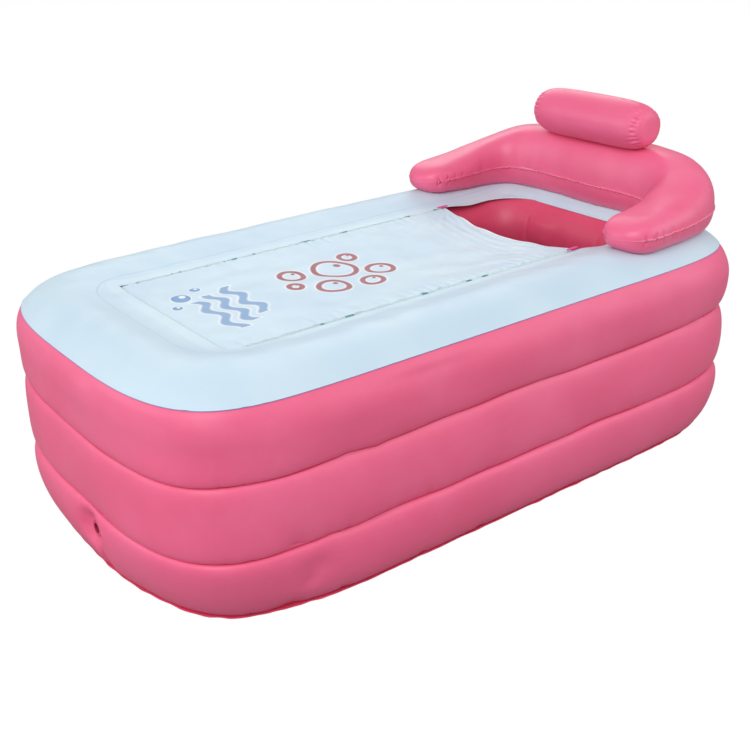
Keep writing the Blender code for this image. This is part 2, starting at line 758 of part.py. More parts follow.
def make_pillow(backrest):
    """Bolster across the tub with drawn-in round ends, let down onto the backrest."""
    loops = []
    start_height = TOP_RING_CREST + BACK_CROWN + 3 * PILLOW_RADIUS
    for i in range(PILLOW_COUNT + 1):
        along = -math.cos(math.pi * i / PILLOW_COUNT) * PILLOW_END_SHARE
        radius = PILLOW_RADIUS * (1 - abs(along) ** PILLOW_END_POWER) ** (1 / PILLOW_END_POWER)
        loop = []
        for k in range(PILLOW_SIDES):
            turn = 2 * math.pi * k / PILLOW_SIDES
            x = PILLOW_X + radius * math.cos(turn)
            loop.append(Vector((x, along * PILLOW_LENGTH / 2, start_height + radius * math.sin(turn))))
        loops.append(loop)
    pillow = add_object("head_pillow", *capped_loft(loops), PINK)
    drop_onto(pillow, backrest, PILLOW_SEAT_GAP)
    return pillow


def drop_onto(thing, carrier, gap):
    """Lower a piece until it is this far above what carries it."""
    down, up = Vector((0, 0, -1)), Vector((0, 0, 1))
    carrier_tree, own_tree = evaluated_tree(carrier), evaluated_tree(thing)
    falls = [carrier_tree.ray_cast(v.co, down)[3] for v in thing.data.vertices]
    falls += [own_tree.ray_cast(v.co, up)[3] for v in carrier.data.vertices]
    fall = min(f for f in falls if f is not None) - gap
    for vert in thing.data.vertices:
        vert.co.z -= fall
    thing.data.update()


def surface_point(thing, start, direction):
    """Where a line from outside first meets the piece."""
    return evaluated_tree(thing).ray_cast(Vector(start), Vector(direction))[0]


def frame_at(point, outward, up):
    """Placement with local Z pointing out of a surface and local X pointing to the hinge side."""
    z = Vector(outward).normalized()
    x = (Vector(up) - z * z.dot(Vector(up))).normalized()
    y = z.cross(x)
    place = Matrix((x, y, z)).transposed().to_4x4()
    place.translation = point
    return place


def nozzle_profile(size):
    return [(size.bore, -size.depth), (size.neck, -size.depth), (size.neck, 0), (size.flange, 0),
            (size.flange, size.plate), (size.neck, size.plate), (size.neck, size.top),
            (size.bore, size.top)]


def stopper_strap(size):
    """Strap from the stopper's head down to its knuckle on the flange."""
    half = size.head * STRAP_WIDTH_SHARE
    low = size.top + GAP
    high = low + size.strap * STRAP_RISE_SHARE
    reach, height, knuckle = size.hinge_reach, size.hinge_height, size.knuckle
    root = size.head * STRAP_ROOT_SHARE
    outline = [(root, low), (size.head + size.strap / 2, low), (reach - knuckle, height)]
    for i in range(1, KNUCKLE_COUNT):
        turn = math.pi + math.pi * i / KNUCKLE_COUNT
        outline.append((reach + knuckle * math.cos(turn), height + knuckle * math.sin(turn)))
    shoulder = knuckle * KNUCKLE_SHOULDER_SHARE
    outline += [(reach + knuckle, height), (reach + shoulder, height + shoulder),
                (size.head + size.strap, high), (root, high)]
    return extrude([(x, -half, z) for x, z in outline], (0, 2 * half, 0))


def make_stopper(name, size, place):
    """Stopper with its nub in the bore; its origin is on the strap's knuckle."""
    low = size.top + GAP
    rim = size.strap * HEAD_RIM_SHARE
    nub = size.bore * (1 - NUB_CLEARANCE_SHARE) - 2 * GAP
    bevel = nub * NUB_BEVEL_SHARE
    profile = [(nub - bevel, low - size.nub), (nub, low - size.nub + bevel), (nub, low),
               (size.head, low), (size.head, low + rim / 2), (size.head - rim / 2, low + rim)]
    loops = turned(profile, VALVE_SIDES)
    stopper = add_object(name, *capped_loft(loops), CLEAR)
    strap = add_object(f"{name}_strap", *stopper_strap(size))
    combine(stopper, strap, "UNION")
    pivot = Vector((size.hinge_reach, 0, size.hinge_height))
    for thing in (stopper, strap):
        for vert in thing.data.vertices:
            vert.co -= pivot
        thing.matrix_world = place @ Matrix.Translation(pivot)
    return stopper


def make_valve(stem, size, carrier, start, inward, up):
    """Air valve let into a shallow pocket of its chamber and square to its skin, with its stopper."""
    skin, normal = evaluated_tree(carrier).ray_cast(Vector(start), Vector(inward))[:2]
    outward = Vector((normal.x, 0, normal.z)).normalized()
    place = frame_at(skin - outward * POCKET_DEPTH, outward, up)
    nozzle = add_object(f"{stem}_valve", *loft(turned(nozzle_profile(size), VALVE_SIDES)), CLEAR)
    nozzle.matrix_world = place
    hole = [(size.neck + GAP, -size.depth - size.neck), (size.neck + GAP, -GAP),
            (size.flange + GAP, -GAP), (size.flange + GAP, OVERRUN)]
    cutter = add_object(f"{stem}_pocket", *capped_loft(turned(hole, VALVE_SIDES)))
    cutter.matrix_world = place
    combine(carrier, cutter, "DIFFERENCE")
    make_stopper(f"{stem}_stopper", size, place)


def make_valves(rings, floor, backrest, pillow):
    """One valve for each chamber; the floor's is on the crest of a channel beside the middle."""
    outside = TUB_LENGTH
    up = (0, 0, 1)
    heights = {"bottom_ring": BOTTOM_RING_TOP / 2, "middle_ring": (BOTTOM_RING_TOP + MIDDLE_RING_TOP) / 2,
               "top_ring": TOP_RING_MIDDLE}
    for name, height in heights.items():
        make_valve(name, RING_STOPPER, rings[name], (outside, RING_VALVE_Y, height), (-1, 0, 0), up)
    above = (FOOT_X + FLOOR_VALVE_INSET, floor_half_width() / CHANNEL_COUNT, outside)
    make_valve("floor", SMALL_STOPPER, floor, above, (0, 0, -1), (-1, 0, 0))
    backrest_middle = Vector((BACKREST_BACK_X, 0, TOP_RING_CREST + BACK_SEAM_RISE))
    pillow_middle = Vector((PILLOW_X, PILLOW_VALVE_Y, pillow_centre(pillow)))
    for name, carrier, middle, tilt in (("backrest", backrest, backrest_middle, BACKREST_VALVE_TILT),
                                        ("pillow", pillow, pillow_middle, PILLOW_VALVE_TILT)):
        inward = Vector((-math.cos(tilt), 0, -math.sin(tilt)))
        make_valve(name, SMALL_STOPPER, carrier, middle - inward * outside, inward, up)


def pillow_centre(pillow):
    heights = [vert.co.z for vert in pillow.data.vertices]
    return (min(heights) + max(heights)) / 2


def make_drain(ring):
    """Tube through the ring: nozzle and stopper inside the bath, open mouth in a dimple outside."""
    size = DRAIN_STOPPER
    level = (0, DRAIN_Y, DRAIN_HEIGHT)
    inner = surface_point(ring, level, (-1, 0, 0))
    outer = surface_point(ring, (-TUB_LENGTH, DRAIN_Y, DRAIN_HEIGHT), (1, 0, 0))
    place = frame_at(inner - Vector((POCKET_DEPTH, 0, 0)), (1, 0, 0), (0, 0, 1))
    mouth = outer.x + DRAIN_RECESS + POCKET_DEPTH - inner.x
    lip = size.neck + size.plate * 2
    profile = [(size.bore, mouth), (lip, mouth), (lip, mouth + size.plate), (size.neck, mouth + size.plate),
               (size.neck, 0), (size.flange, 0), (size.flange, size.plate), (size.neck, size.plate),
               (size.neck, size.top), (size.bore, size.top)]
    tube = add_object("drain_tube", *loft(turned(profile, VALVE_SIDES)), DEEP_PINK)
    tube.matrix_world = place
    dimple = [(DRAIN_DIMPLE_RADIUS * DIMPLE_MOUTH_SHARE, mouth - DRAIN_RECESS - OVERRUN),
              (DRAIN_DIMPLE_RADIUS, mouth - DRAIN_RECESS),
              (DRAIN_DIMPLE_RADIUS * DIMPLE_WAIST_SHARE, mouth - DRAIN_RECESS * DIMPLE_DEPTH_SHARE),
              (lip + 2 * GAP, mouth), (lip + 2 * GAP, mouth + size.plate + GAP),
              (size.neck + GAP, mouth + size.plate + GAP), (size.neck + GAP, -GAP),
              (size.flange + GAP, -GAP), (size.flange + GAP, OVERRUN)]
    cutter = add_object("drain_hole", *capped_loft(turned(dimple, VALVE_SIDES)))
    cutter.matrix_world = place
    combine(ring, cutter, "DIFFERENCE")
    make_stopper("drain_stopper", size, place)


def build():
    clear_scene()
    make_base_sheet()
    rings = make_rings()
    floor = make_floor_cushion()
    make_deck()
    make_flap()
    for side_name, side in (("left", -1), ("right", 1)):
        make_zip(side_name, side)
        make_slider(side_name, side)
        make_pull(side_name, side)
    backrest = make_backrest()
    pillow = make_pillow(backrest)
    make_drain(rings["bottom_ring"])
    make_valves(rings, floor, backrest, pillow)


build()
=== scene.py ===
"""Looks of the inflatable bathtub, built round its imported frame: metres, +Z up, head end at +X."""

import math

import bpy
import numpy as np
from mathutils import Matrix, Vector


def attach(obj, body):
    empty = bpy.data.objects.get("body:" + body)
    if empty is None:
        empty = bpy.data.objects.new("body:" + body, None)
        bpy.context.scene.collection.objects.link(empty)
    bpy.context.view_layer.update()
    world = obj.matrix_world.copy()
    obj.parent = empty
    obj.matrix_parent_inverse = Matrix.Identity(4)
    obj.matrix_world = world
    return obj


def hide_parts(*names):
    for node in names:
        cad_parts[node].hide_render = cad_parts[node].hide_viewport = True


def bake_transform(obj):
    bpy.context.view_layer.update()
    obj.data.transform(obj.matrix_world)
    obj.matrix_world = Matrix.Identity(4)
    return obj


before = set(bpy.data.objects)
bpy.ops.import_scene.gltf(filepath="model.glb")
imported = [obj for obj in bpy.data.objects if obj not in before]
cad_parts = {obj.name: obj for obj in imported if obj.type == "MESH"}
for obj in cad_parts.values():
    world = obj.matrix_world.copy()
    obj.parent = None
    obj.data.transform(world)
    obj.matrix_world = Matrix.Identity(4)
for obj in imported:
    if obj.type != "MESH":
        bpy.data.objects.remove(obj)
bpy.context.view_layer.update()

# Tub outline and walls, as in the part's source
HEAD_X = 0.7075
SIDE_Y = 0.3935
FOOT_POWERS = (9.5, 3.2)
HEAD_POWERS = (8.7, 5.0)
GAP = 0.0003
SKIN = 0.001
RING_LOW = 0.0015
BOTTOM_TOP = 0.139
MIDDLE_TOP = 0.2815
TOP_MIDDLE = 0.355
TOP_RISE = 0.0985
CREST = TOP_MIDDLE + TOP_RISE
WALL = 0.165
BULGE = 0.018
BASE_DRAW_IN = 0.022
BULGE_POWER = 2.2
STATIONS = 840

# Cover
EDGE_TURN = math.asin(0.613)
LEAVE_TURN = 0.56 * math.pi
COVER_LEVEL = 0.436
COVER_FALL = 0.078
COVER_FALL_SLOPE = 0.19
INNER_REACH = 0.26
HINGE_X = -0.505
OPENING_HEAD_X = 0.557
EDGE_DROOP = 0.009
DROOP_REACH = 0.05
OPENING_CORNER = 0.09
ZIP_Y = 0.208
EDGE_GAP = 0.0037
SLIT_GAP = 0.0003
FLAP_EDGE_X = 0.335
FLAP_EDGE_DIP = 0.022
FLAP_SAG = 0.012
FLAP_SLACK = 0.1929
FLAP_LEAN = 0.45
SHEET_THICKNESS = 0.0008
LAP_STEP = 0.0002
LAP_DROP = 0.0014
FOOT_LAP = 0.006
FOOT_OVER = 0.004
FOOT_DROP = 0.0018
FOOT_WIDER = 0.008
# Width of the deck's outermost strip, which carries a painted shade line
EDGE_SHADE_WIDTH = 0.0011
DECK_OVER = GAP + SKIN
DECK_COLUMNS = 64
FLAP_ROWS, FLAP_COLUMNS = 300, 130
FAN_LEANS = (0.30, 0.55, 0.82, 1.08, 1.30)
HEM_WIDTH = 0.007

# Zips
COIL_FOOT_X = -0.460
COIL_HEAD_X = 0.323
COIL_PITCH = 0.0016
COIL_LOW = 0.4350
COIL_TOP = 0.4372
COIL_NEAR = 0.00012
COIL_WIDTH = 0.0026
COIL_WIRE = 0.00036
COIL_STEPS, COIL_SIDES = 10, 5

# Backrest and pillow
REST_TIP_X = 0.3366
REST_REACH = 0.3045
REST_SPAN = 0.3095
REST_POWERS = (4.1, 5.35)
REST_HALF = (0.057, 0.072)
REST_CROWN = (0.0326, 0.0965)
REST_CROWN_POWER = 2.3
REST_UNDER = (0.0344, 0.0631)
REST_SEAM = (0.4827, 0.4977)
REST_SIDE_POWER = 0.62
TIP_ROUNDING = 0.062
REST_SOFT = 91
REST_SKEW = 0.005
REST_ROWS, REST_SIDES = 420, 34
REST_LIP = 0.0028
REST_WELD = 0.0006
REST_LIFT = 0.0008
REST_FRILL = 0.0006
TIP_PUCKERS = np.array([0.031, 0.056, 0.078, 0.104])
TIP_DEPTHS = np.array([0.0046, 0.0046, 0.0024, 0.0018])
PILLOW_CENTRE = (0.6095, 0.0, 0.6412)
PILLOW_LENGTH = 0.328
PILLOW_RADIUS = 0.0535
PILLOW_POWER = 5.0
PILLOW_WELD_IN = 0.017
PILLOW_ROWS, PILLOW_SIDES = 320, 300

# Floor cushion
FLOOR_TOP = 0.0465
FLOOR_EDGE = 0.0255
FLOOR_INSET = 0.189
FLOOR_WIDTH_SHARE = 0.985
CHANNEL_DEPTH = 0.012
CHANNELS = 6
FLOOR_ROWS, FLOOR_COLUMNS = 240, 180

# Puckers along welds: width, reach, depth, slant
RING_PUCKERS = (0.004, 0.022, 0.0009)
DECK_PUCKERS = (0.006, 0.035, 0.0006)
REST_PUCKERS = (0.0024, 0.010, 0.0007, 0.15)
PILLOW_PUCKERS = (0.0024, 0.0095, 0.0030, 0.1)
PILLOW_PUCKER_COUNT = 26
PILLOW_WELD_DENT = (0.0016, 0.0035)
TIP_PUCKER_WIDTH, TIP_PUCKER_REACH = 0.0021, 0.017

# Valves: place of the flange's underside, way out, hinge side, share of the full size
UP = (0, 0, 1)
VALVES = {
    "bottom_ring": ((0.71581, 0.15, 0.07022), (0.97102, 0, -0.23901), UP, 1.0),
    "middle_ring": ((0.72143, 0.15, 0.21006), (0.99805, 0, 0.06242), UP, 1.0),
    "top_ring": ((0.72143, 0.15, 0.35518), (0.99816, 0, -0.06062), UP, 1.0),
    "floor": ((-0.41994, 0.03357, 0.04159), (-0.02079, 0, 0.99978), (-1, 0, 0), 0.8),
    "backrest": ((0.70188, 0, 0.54051), (0.93180, 0, 0.36298), UP, 0.8),
    "pillow": ((0.65727, 0.09, 0.63098), (0.98079, 0, -0.19509), UP, 0.8),
}
DRAIN_PLACE = (-0.52816, -0.04, 0.088)
DRAIN_MOUTH_X = -0.708
DRAIN_LIP = 0.0157
DIMPLE_RADIUS = 0.062
# Bore, neck, flange, plate, stub, cap, nub and strap
VALVE_SIZES = (0.0045, 0.0065, 0.017, 0.0012, 0.003, 0.0085, 0.005, 0.001)
DRAIN_SIZES = (0.010, 0.0125, 0.024, 0.0016, 0.005, 0.0145, 0.008, 0.0015)
VALVE_DEPTH = 0.012
BORE_SHOULDER = 0.0004
CAP_ROUNDING = 0.0005
PLUG_FILLET = 0.0002
# How a skin meets a nozzle: flat radius, rim radius, level, creases, hole's radius
VALVE_SEAT = (0.0185, 0.036, -0.0002, 0.0003, 0.0095)
MOUTH_SEAT = (DRAIN_LIP + 0.001, DIMPLE_RADIUS, -0.0021, 0.0004, 0.0135)
NOZZLE_SEAT = (0.0255, 0.042, -0.0002, 0.0002, 0.017)
SEAT_DEPTH = 0.035
HOLE_DEPTH = 0.012

# Dents on the near side: place along the tub, height, radius, depth
NEAR_DENTS = [(-0.467, 0.087, 0.030, 0.006), (-0.478, 0.060, 0.016, 0.003), (-0.31, 0.20, 0.085, 0.0045),
              (-0.40, 0.31, 0.05, 0.004), (0.05, 0.21, 0.12, 0.0025), (-0.20, 0.36, 0.10, 0.0025)]
# Steps in the weld creases there: place along the tub, rise, width
CREASE_STEPS = {"low": [(-0.431, 0.006, 0.02)], "high": [(-0.394, 0.004, 0.012), (-0.335, -0.006, 0.02)]}
# Tucks at the lower welds there: place along the tub, width, depth
BASE_TUCKS = [(-0.502, 0.012, 0.005), (-0.400, 0.007, 0.003), (-0.220, 0.007, 0.0025),
              (-0.077, 0.006, 0.0025)]
TUCK_REACH = 0.03
# Fold under the drain: place across the tub, width, depth, height
FOOT_TUCK = (-0.058, 0.013, 0.020, 0.080)
# Creases on the inner head wall: place across the tub, width, depth
INNER_CREASES = [(0.12, 0.0045, 0.0035), (-0.10, 0.006, 0.002), (0.02, 0.02, 0.0015), (0.075, 0.03, -0.004)]
INNER_FROM = 0.115
WELD_CALM = 0.006
# Reach of the painted shade beside the rings' weld creases
CREASE_SHADE_REACH = 0.007

# Rings' steps round their sections, and the last point of the outer wall
BOTTOM_STEPS = 96
MIDDLE_STEPS = 60
TOP_STEPS, CREST_STEPS, TOP_INNER_STEPS = 18, 56, 12
TOP_WELD = 50
INNER_STEPS = 24
FLAT_STEPS = 5

# Rings' slimming: heights of the bell's feet, depth at the foot end, depth at the foot's corners
BOTTOM_SLIM = (-BOTTOM_TOP, BOTTOM_TOP, 0.0, 0.021)
MIDDLE_SLIM = (BOTTOM_TOP, MIDDLE_TOP, 0.004, 0.003)
TOP_SLIM = (MIDDLE_TOP, 0.410, 0.007, 0.003)
BASE_DRAW = 0.018
BASE_TOP = 0.0011
BASE_THICKNESS = 0.0009
BASE_RIPPLE = 0.0003
BASE_INSETS = np.array([0.39, 0.3, 0.2, 0.12, 0.07, 0.045, 0.034, 0.028, 0.024, 0.021, 0.018, 0.0155, 0.013])

# Camera, fitted to the photograph's weld creases
CAMERA_PLACE = (-1.33521, -1.72724, 1.17402)
CAMERA_AZIMUTH = -0.644922
CAMERA_ELEVATION = 0.429920
CAMERA_ROLL = -0.021650
FOCAL_PIXELS = 1108.99
IMAGE_PIXELS = 750
SENSOR = 36.0

# Colours, linear
PINK = (0.88, 0.124, 0.262)
PINK_PALE = (0.91, 0.155, 0.308)
DEEP_PINK = (0.72, 0.060, 0.145)
DEEP_PINK_PALE = (0.78, 0.082, 0.178)
BLUE = (0.575, 0.728, 0.850)
BLUE_PALE = (0.63, 0.785, 0.87)
BLUE_GREY = (0.56, 0.72, 0.85)
BLUE_DEEP = (0.30, 0.50, 0.70)
# Painted shade colour of the deck's edge line
BLUE_EDGE_SHADE = (0.20, 0.30, 0.58)
PRINT_BLUE = (0.170, 0.345, 0.605)
MAUVE = (0.36, 0.10, 0.13)
WHITE = (0.88, 0.90, 0.92)
MINT = (0.74, 0.90, 0.93)
TEAL = (0.66, 0.84, 0.88)
COIL_MINT = (0.82, 0.95, 0.97)
DASH_TEAL = (0.16, 0.42, 0.45)
ENAMEL = (0.70, 0.79, 0.81)
MAGENTA = (0.86, 0.06, 0.36)
MILKY = (0.86, 0.80, 0.82)


# Print on the flap: places along and across with a size
BUBBLES = [(-0.110, 0.030, 0.044), (-0.170, -0.052, 0.030), (-0.085, -0.066, 0.021), (-0.205, 0.046, 0.024),
           (-0.030, -0.018, 0.027), (-0.232, -0.010, 0.013), (-0.045, 0.078, 0.017)]
BUBBLE_LINE = 0.0075
BUBBLE_HALO = 0.0120
DROPS = [(-0.440, 0.070, 0.019), (-0.395, 0.098, 0.011), (-0.468, 0.030, 0.010)]
WAVE_ROWS = [(-0.345, -0.005), (-0.385, -0.025), (-0.425, -0.045)]
WAVE_HALF_LENGTH = 0.085
WAVE_SWING = 0.009
WAVE_TURNS = 88.0
WAVE_LINE = 0.0130
WAVE_HALO = 0.0185

# Cover's drawn lines, as rounded boxes: middle, half size, corner
WELD_BOX = ((0.034, 0), (0.599, 0.246), 0.10)
MINT_BOX = ((0.04, 0), (0.567, ZIP_Y + 0.022), 0.03)
WELD_WIDTH = 0.0016
STITCH_WIDTH = 0.0012

# Rounding of the small castings
MERGE = 0.00002
CASTING_EDGE = 0.00025

# Studio
WORLD_LOW = 0.32
WORLD_HIGH = 0.52
FLOOR_GREY = 0.32
FLOOR_GLOW = 1.05
FLOOR_GLOW_SHARE = 0.94
FLOOR_HALF = 30
FLOOR_DROP = 0.0004


# Numbers and curves

def smooth(low, high, value):
    share = np.clip((value - low) / (high - low), 0, 1)
    return share * share * (3 - 2 * share)


def bell(away, reach=1.0):
    return np.exp(-(away / reach) ** 2)


def signed_power(value, power):
    return np.sign(value) * np.abs(value) ** power


def unit(vectors):
    return vectors / np.maximum(np.linalg.norm(vectors, axis=-1, keepdims=True), 1e-12)


def lengths(x, y, weight=1.0):
    """Weighted length along a line, up to each of its points."""
    return np.concatenate([[0], np.cumsum(np.hypot(np.diff(x), np.diff(y)) * weight)])


def spread(x, y, weight, count):
    """Indexes of points along a fine line, spaced by length times weight."""
    measure = lengths(x, y, (weight[1:] + weight[:-1]) / 2)
    return np.interp(np.arange(count) / count * measure[-1], measure, np.arange(len(x)))


def last_where(holds, low, high):
    """Largest values between low and high for which a test still holds."""
    for _ in range(40):
        middle = (low + high) / 2
        held = holds(middle)
        low, high = np.where(held, middle, low), np.where(held, high, middle)
    return low


def powers(along):
    """The outline's powers along and across the tub, which differ between its ends."""
    return [np.where(along > 0, head, foot) for head, foot in zip(HEAD_POWERS, FOOT_POWERS)]


def outline(turn, inset):
    """The tub's outline, moved in by the inset, at this turn about the middle."""
    across, along = np.sin(turn), np.cos(turn)
    end, side = powers(along)
    return (HEAD_X - inset) * signed_power(along, 2 / end), (SIDE_Y - inset) * signed_power(across, 2 / side)


def inset_at(x, y):
    """How far in from the outline each point lies."""
    end, side = powers(x)

    def inside(inset):
        return (np.abs(x) / (HEAD_X - inset)) ** end + (np.abs(y) / (SIDE_Y - inset)) ** side < 1

    return last_where(inside, np.full_like(x, -0.1), np.full_like(x, 0.39))


def station_turns():
    """Turns round the outline: even along it, closer at the bends, the drain and the valves."""
    turns = np.pi * (1 - np.cos(np.linspace(0, np.pi, 20001)))
    x, y = outline(turns, 0)
    weight = 1 + 1.6 * ((x < -0.6) & (np.abs(y - DRAIN_PLACE[1]) < 0.055))
    weight += 1.2 * ((x > 0.6) & (np.abs(y - 0.15) < 0.035))
    weight += 0.5 * smooth(0.30, 0.36, np.abs(y)) * smooth(0.50, 0.62, np.abs(x))
    return np.interp(spread(x, y, weight, STATIONS), np.arange(len(turns)), turns)


TURNS = station_turns()
EDGE_X, EDGE_Y = outline(TURNS, 0)
AROUND = lengths(EDGE_X, EDGE_Y)
CORNER = smooth(0.22, 0.36, np.abs(EDGE_Y)) * smooth(0.42, 0.62, np.abs(EDGE_X))
FOOT_CORNER = smooth(0.36, 0.60, -EDGE_X) * (smooth(0.03, 0.28, -EDGE_Y) + 0.25 * smooth(0.05, 0.30, EDGE_Y))
NEAR_SIDE = (EDGE_Y < -0.3) & (np.abs(EDGE_X) < 0.62)


def waves(u, v, low, high, count, seed):
    """Uneven field of about one in size, with wavelengths from low to high metres; v may be None."""
    rng = np.random.RandomState(seed)
    total = 0
    for _ in range(count):
        length = low * (high / low) ** rng.rand()
        where = u
        if v is not None:
            angle = rng.rand() * np.pi
            where = u * np.cos(angle) + v * np.sin(angle)
        total = total + np.sin(2 * np.pi * (where / length + rng.rand()))
    return total / math.sqrt(count / 2)


def grid_normals(grid, closed_u, closed_v):
    """Unit normals of a grid of points."""
    return unit(np.cross(*(np.roll(grid, -1, k) - np.roll(grid, 1, k) if closed else np.gradient(grid, axis=k)
                           for k, closed in enumerate((closed_u, closed_v)))))


def puckers(along, away, places, widths, reaches, depths, slants):
    """Pinched folds that run away from a weld."""
    total = 0
    for place, width, reach, depth, slant in zip(places, widths, reaches, depths, slants):
        line = (along - place - slant * away) / (width * (1 + away / reach))
        total = total - depth * bell(line) * bell(away, reach)
    return total


def uneven_puckers(rng, along, away, places, width, reach, depth, slant=0.25):
    """Puckers whose sizes differ from place to place."""
    count = len(places)
    widths, reaches = width * (0.6 + 0.8 * rng.rand(count)), reach * (0.6 + 0.9 * rng.rand(count))
    depths, slants = depth * (0.4 + 1.1 * rng.rand(count)), slant * (rng.rand(count) - 0.5) * 2
    return puckers(along, away, places, widths, reaches, depths, slants)


def scattered(rng, count, whole, along, away, sizes):
    """Uneven puckers at random places along a weld."""
    return uneven_puckers(rng, along, away, np.sort(rng.rand(count)) * whole, *sizes)


# Meshes

def mesh_object(name, points, faces, material, uv=None):
    mesh = bpy.data.meshes.new(name)
    flat = np.asarray(faces, dtype=np.int32)
    mesh.vertices.add(len(points))
    mesh.vertices.foreach_set("co", np.asarray(points, np.float32).ravel())
    mesh.loops.add(flat.size)
    mesh.loops.foreach_set("vertex_index", flat.ravel())
    mesh.polygons.add(len(flat))
    mesh.polygons.foreach_set("loop_start", np.arange(0, flat.size, flat.shape[1], dtype=np.int32))
    mesh.update(calc_edges=True)
    mesh.validate()
    if uv is not None:
        layer = mesh.uv_layers.new(name="metres")
        layer.data.foreach_set("uv", np.asarray(uv, np.float32)[flat.ravel()].ravel())
    mesh.shade_smooth()
    made = bpy.data.objects.new(name, mesh)
    bpy.context.scene.collection.objects.link(made)
    mesh.materials.append(material)
    return made


def grid_faces(rows, columns, closed_u, closed_v):
    """Quads over a grid of rows and columns of points."""
    i = np.arange(rows if closed_u else rows - 1)[:, None]
    j = np.arange(columns if closed_v else columns - 1)[None, :]
    ii, jj = (i + 1) % rows, (j + 1) % columns
    quad = np.stack([i * columns + j, ii * columns + j, ii * columns + jj, i * columns + jj], axis=2)
    return quad.reshape(-1, 4)


def sheet_faces(rows, columns, closed_u=False):
    """Quads of a closed sheet: its top, its underside with as many points, and its rims."""
    count = rows * columns
    top = grid_faces(rows, columns, closed_u, False)
    faces = [top, top[:, ::-1] + count]
    u, v = np.arange(rows if closed_u else rows - 1), np.arange(columns - 1)
    rims = [(u * columns + j, (u + 1) % rows * columns + j, j > 0) for j in (0, columns - 1)]
    if not closed_u:
        rims += [(i * columns + v, i * columns + v + 1, i == 0) for i in (0, rows - 1)]
    for here, there, flip in rims:
        rim = np.stack([here, here + count, there + count, there], 1)
        faces.append(rim[:, ::-1] if flip else rim)
    return np.concatenate(faces)


def sheet_mesh(name, top, thickness, material, closed_u):
    """Thin closed sheet under a grid of points."""
    normal = grid_normals(top, closed_u, False)
    under = top - normal * np.sign(normal[..., 2:3] + 1e-9) * thickness
    points = np.concatenate([top.reshape(-1, 3), under.reshape(-1, 3)])
    uv = np.tile(top[..., :2].reshape(-1, 2), (2, 1))
    return mesh_object(name, points, sheet_faces(*top.shape[:2], closed_u), material, uv)


def face_corners(made):
    """Point numbers of a mesh of quads."""
    corners = np.zeros(len(made.data.loops), np.int32)
    made.data.loops.foreach_get("vertex_index", corners)
    return corners.reshape(-1, 4)


def paint_faces(made, material, chosen):
    """Give the chosen faces a second material."""
    made.data.materials.append(material)
    made.data.polygons.foreach_set("material_index", np.asarray(chosen, np.int32))


def stand_in(made, node, body="tub"):
    """Hide the node a piece stands for, and attach the piece to the body that carries it whole, if one is
    given.
    """
    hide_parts(node)
    if body:
        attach(made, body)


def placed(place, outward, hinge_side):
    """Matrix with local Z out of the surface and local X to the hinge side."""
    z = Vector(outward).normalized()
    x = (Vector(hinge_side) - z * z.dot(Vector(hinge_side))).normalized()
    made = Matrix((x, z.cross(x), z)).transposed().to_4x4()
    made.translation = Vector(place)
    return made


def seat(points, matrix, flat_radius, rim_radius, level, creases):
    """Draw a skin down to a level round a nozzle, with soft radial creases in the slope."""
    turn, centre = np.array(matrix.to_3x3()), np.array(matrix.translation)
    local = (points - centre) @ turn
    radius = np.hypot(local[..., 0], local[..., 1])
    near = (radius < rim_radius) & (np.abs(local[..., 2]) < SEAT_DEPTH)
    share = (1 - smooth(flat_radius, rim_radius, radius)) ** 1.5
    angle = np.arctan2(local[..., 1], local[..., 0])
    ridge = np.sin(5 * angle + 0.7) + 0.6 * np.sin(9 * angle + 2.1)
    height = local[..., 2] + (level - local[..., 2]) * share + creases * ridge * share * (1 - share) * 4
    local[..., 2] = np.where(near, height, local[..., 2])
    return local @ turn.T + centre


def seated(points, faces, seats):
    """Seat a skin on its nozzles, and drop the faces under their flanges, where their bores pass."""
    for matrix, *shape, hole in seats:
        points = seat(points, matrix, *shape)
    for matrix, *shape, hole in seats:
        local = (points[faces].mean(1) - np.array(matrix.translation)) @ np.array(matrix.to_3x3())
        faces = faces[(np.hypot(local[:, 0], local[:, 1]) >= hole) | (np.abs(local[:, 2]) >= HOLE_DEPTH)]
    return points, faces


# Materials

class Nodes:
    """A node tree, written as sums."""

    def __init__(self, tree):
        self.tree = tree

    def node(self, kind, inputs=None, **settings):
        made = self.tree.nodes.new("ShaderNode" + kind)
        for key, value in settings.items():
            setattr(made, key, value)
        for key, value in (inputs or {}).items():
            if isinstance(value, bpy.types.NodeSocket):
                self.tree.links.new(value, made.inputs[key])
            else:
                made.inputs[key].default_value = value
        return made

    def math(self, operation, *values, clamp=False):
        return self.node("Math", dict(enumerate(values)), operation=operation,
                         use_clamp=clamp).outputs[0]

    def times(self, first, second):
        return self.math("MULTIPLY", first, second)

    def plus(self, first, second):
        return self.math("ADD", first, second)

    def minus(self, first, second):
        return self.math("SUBTRACT", first, second)

    def parts(self, vector):
        return self.node("SeparateXYZ", {"Vector": vector}).outputs


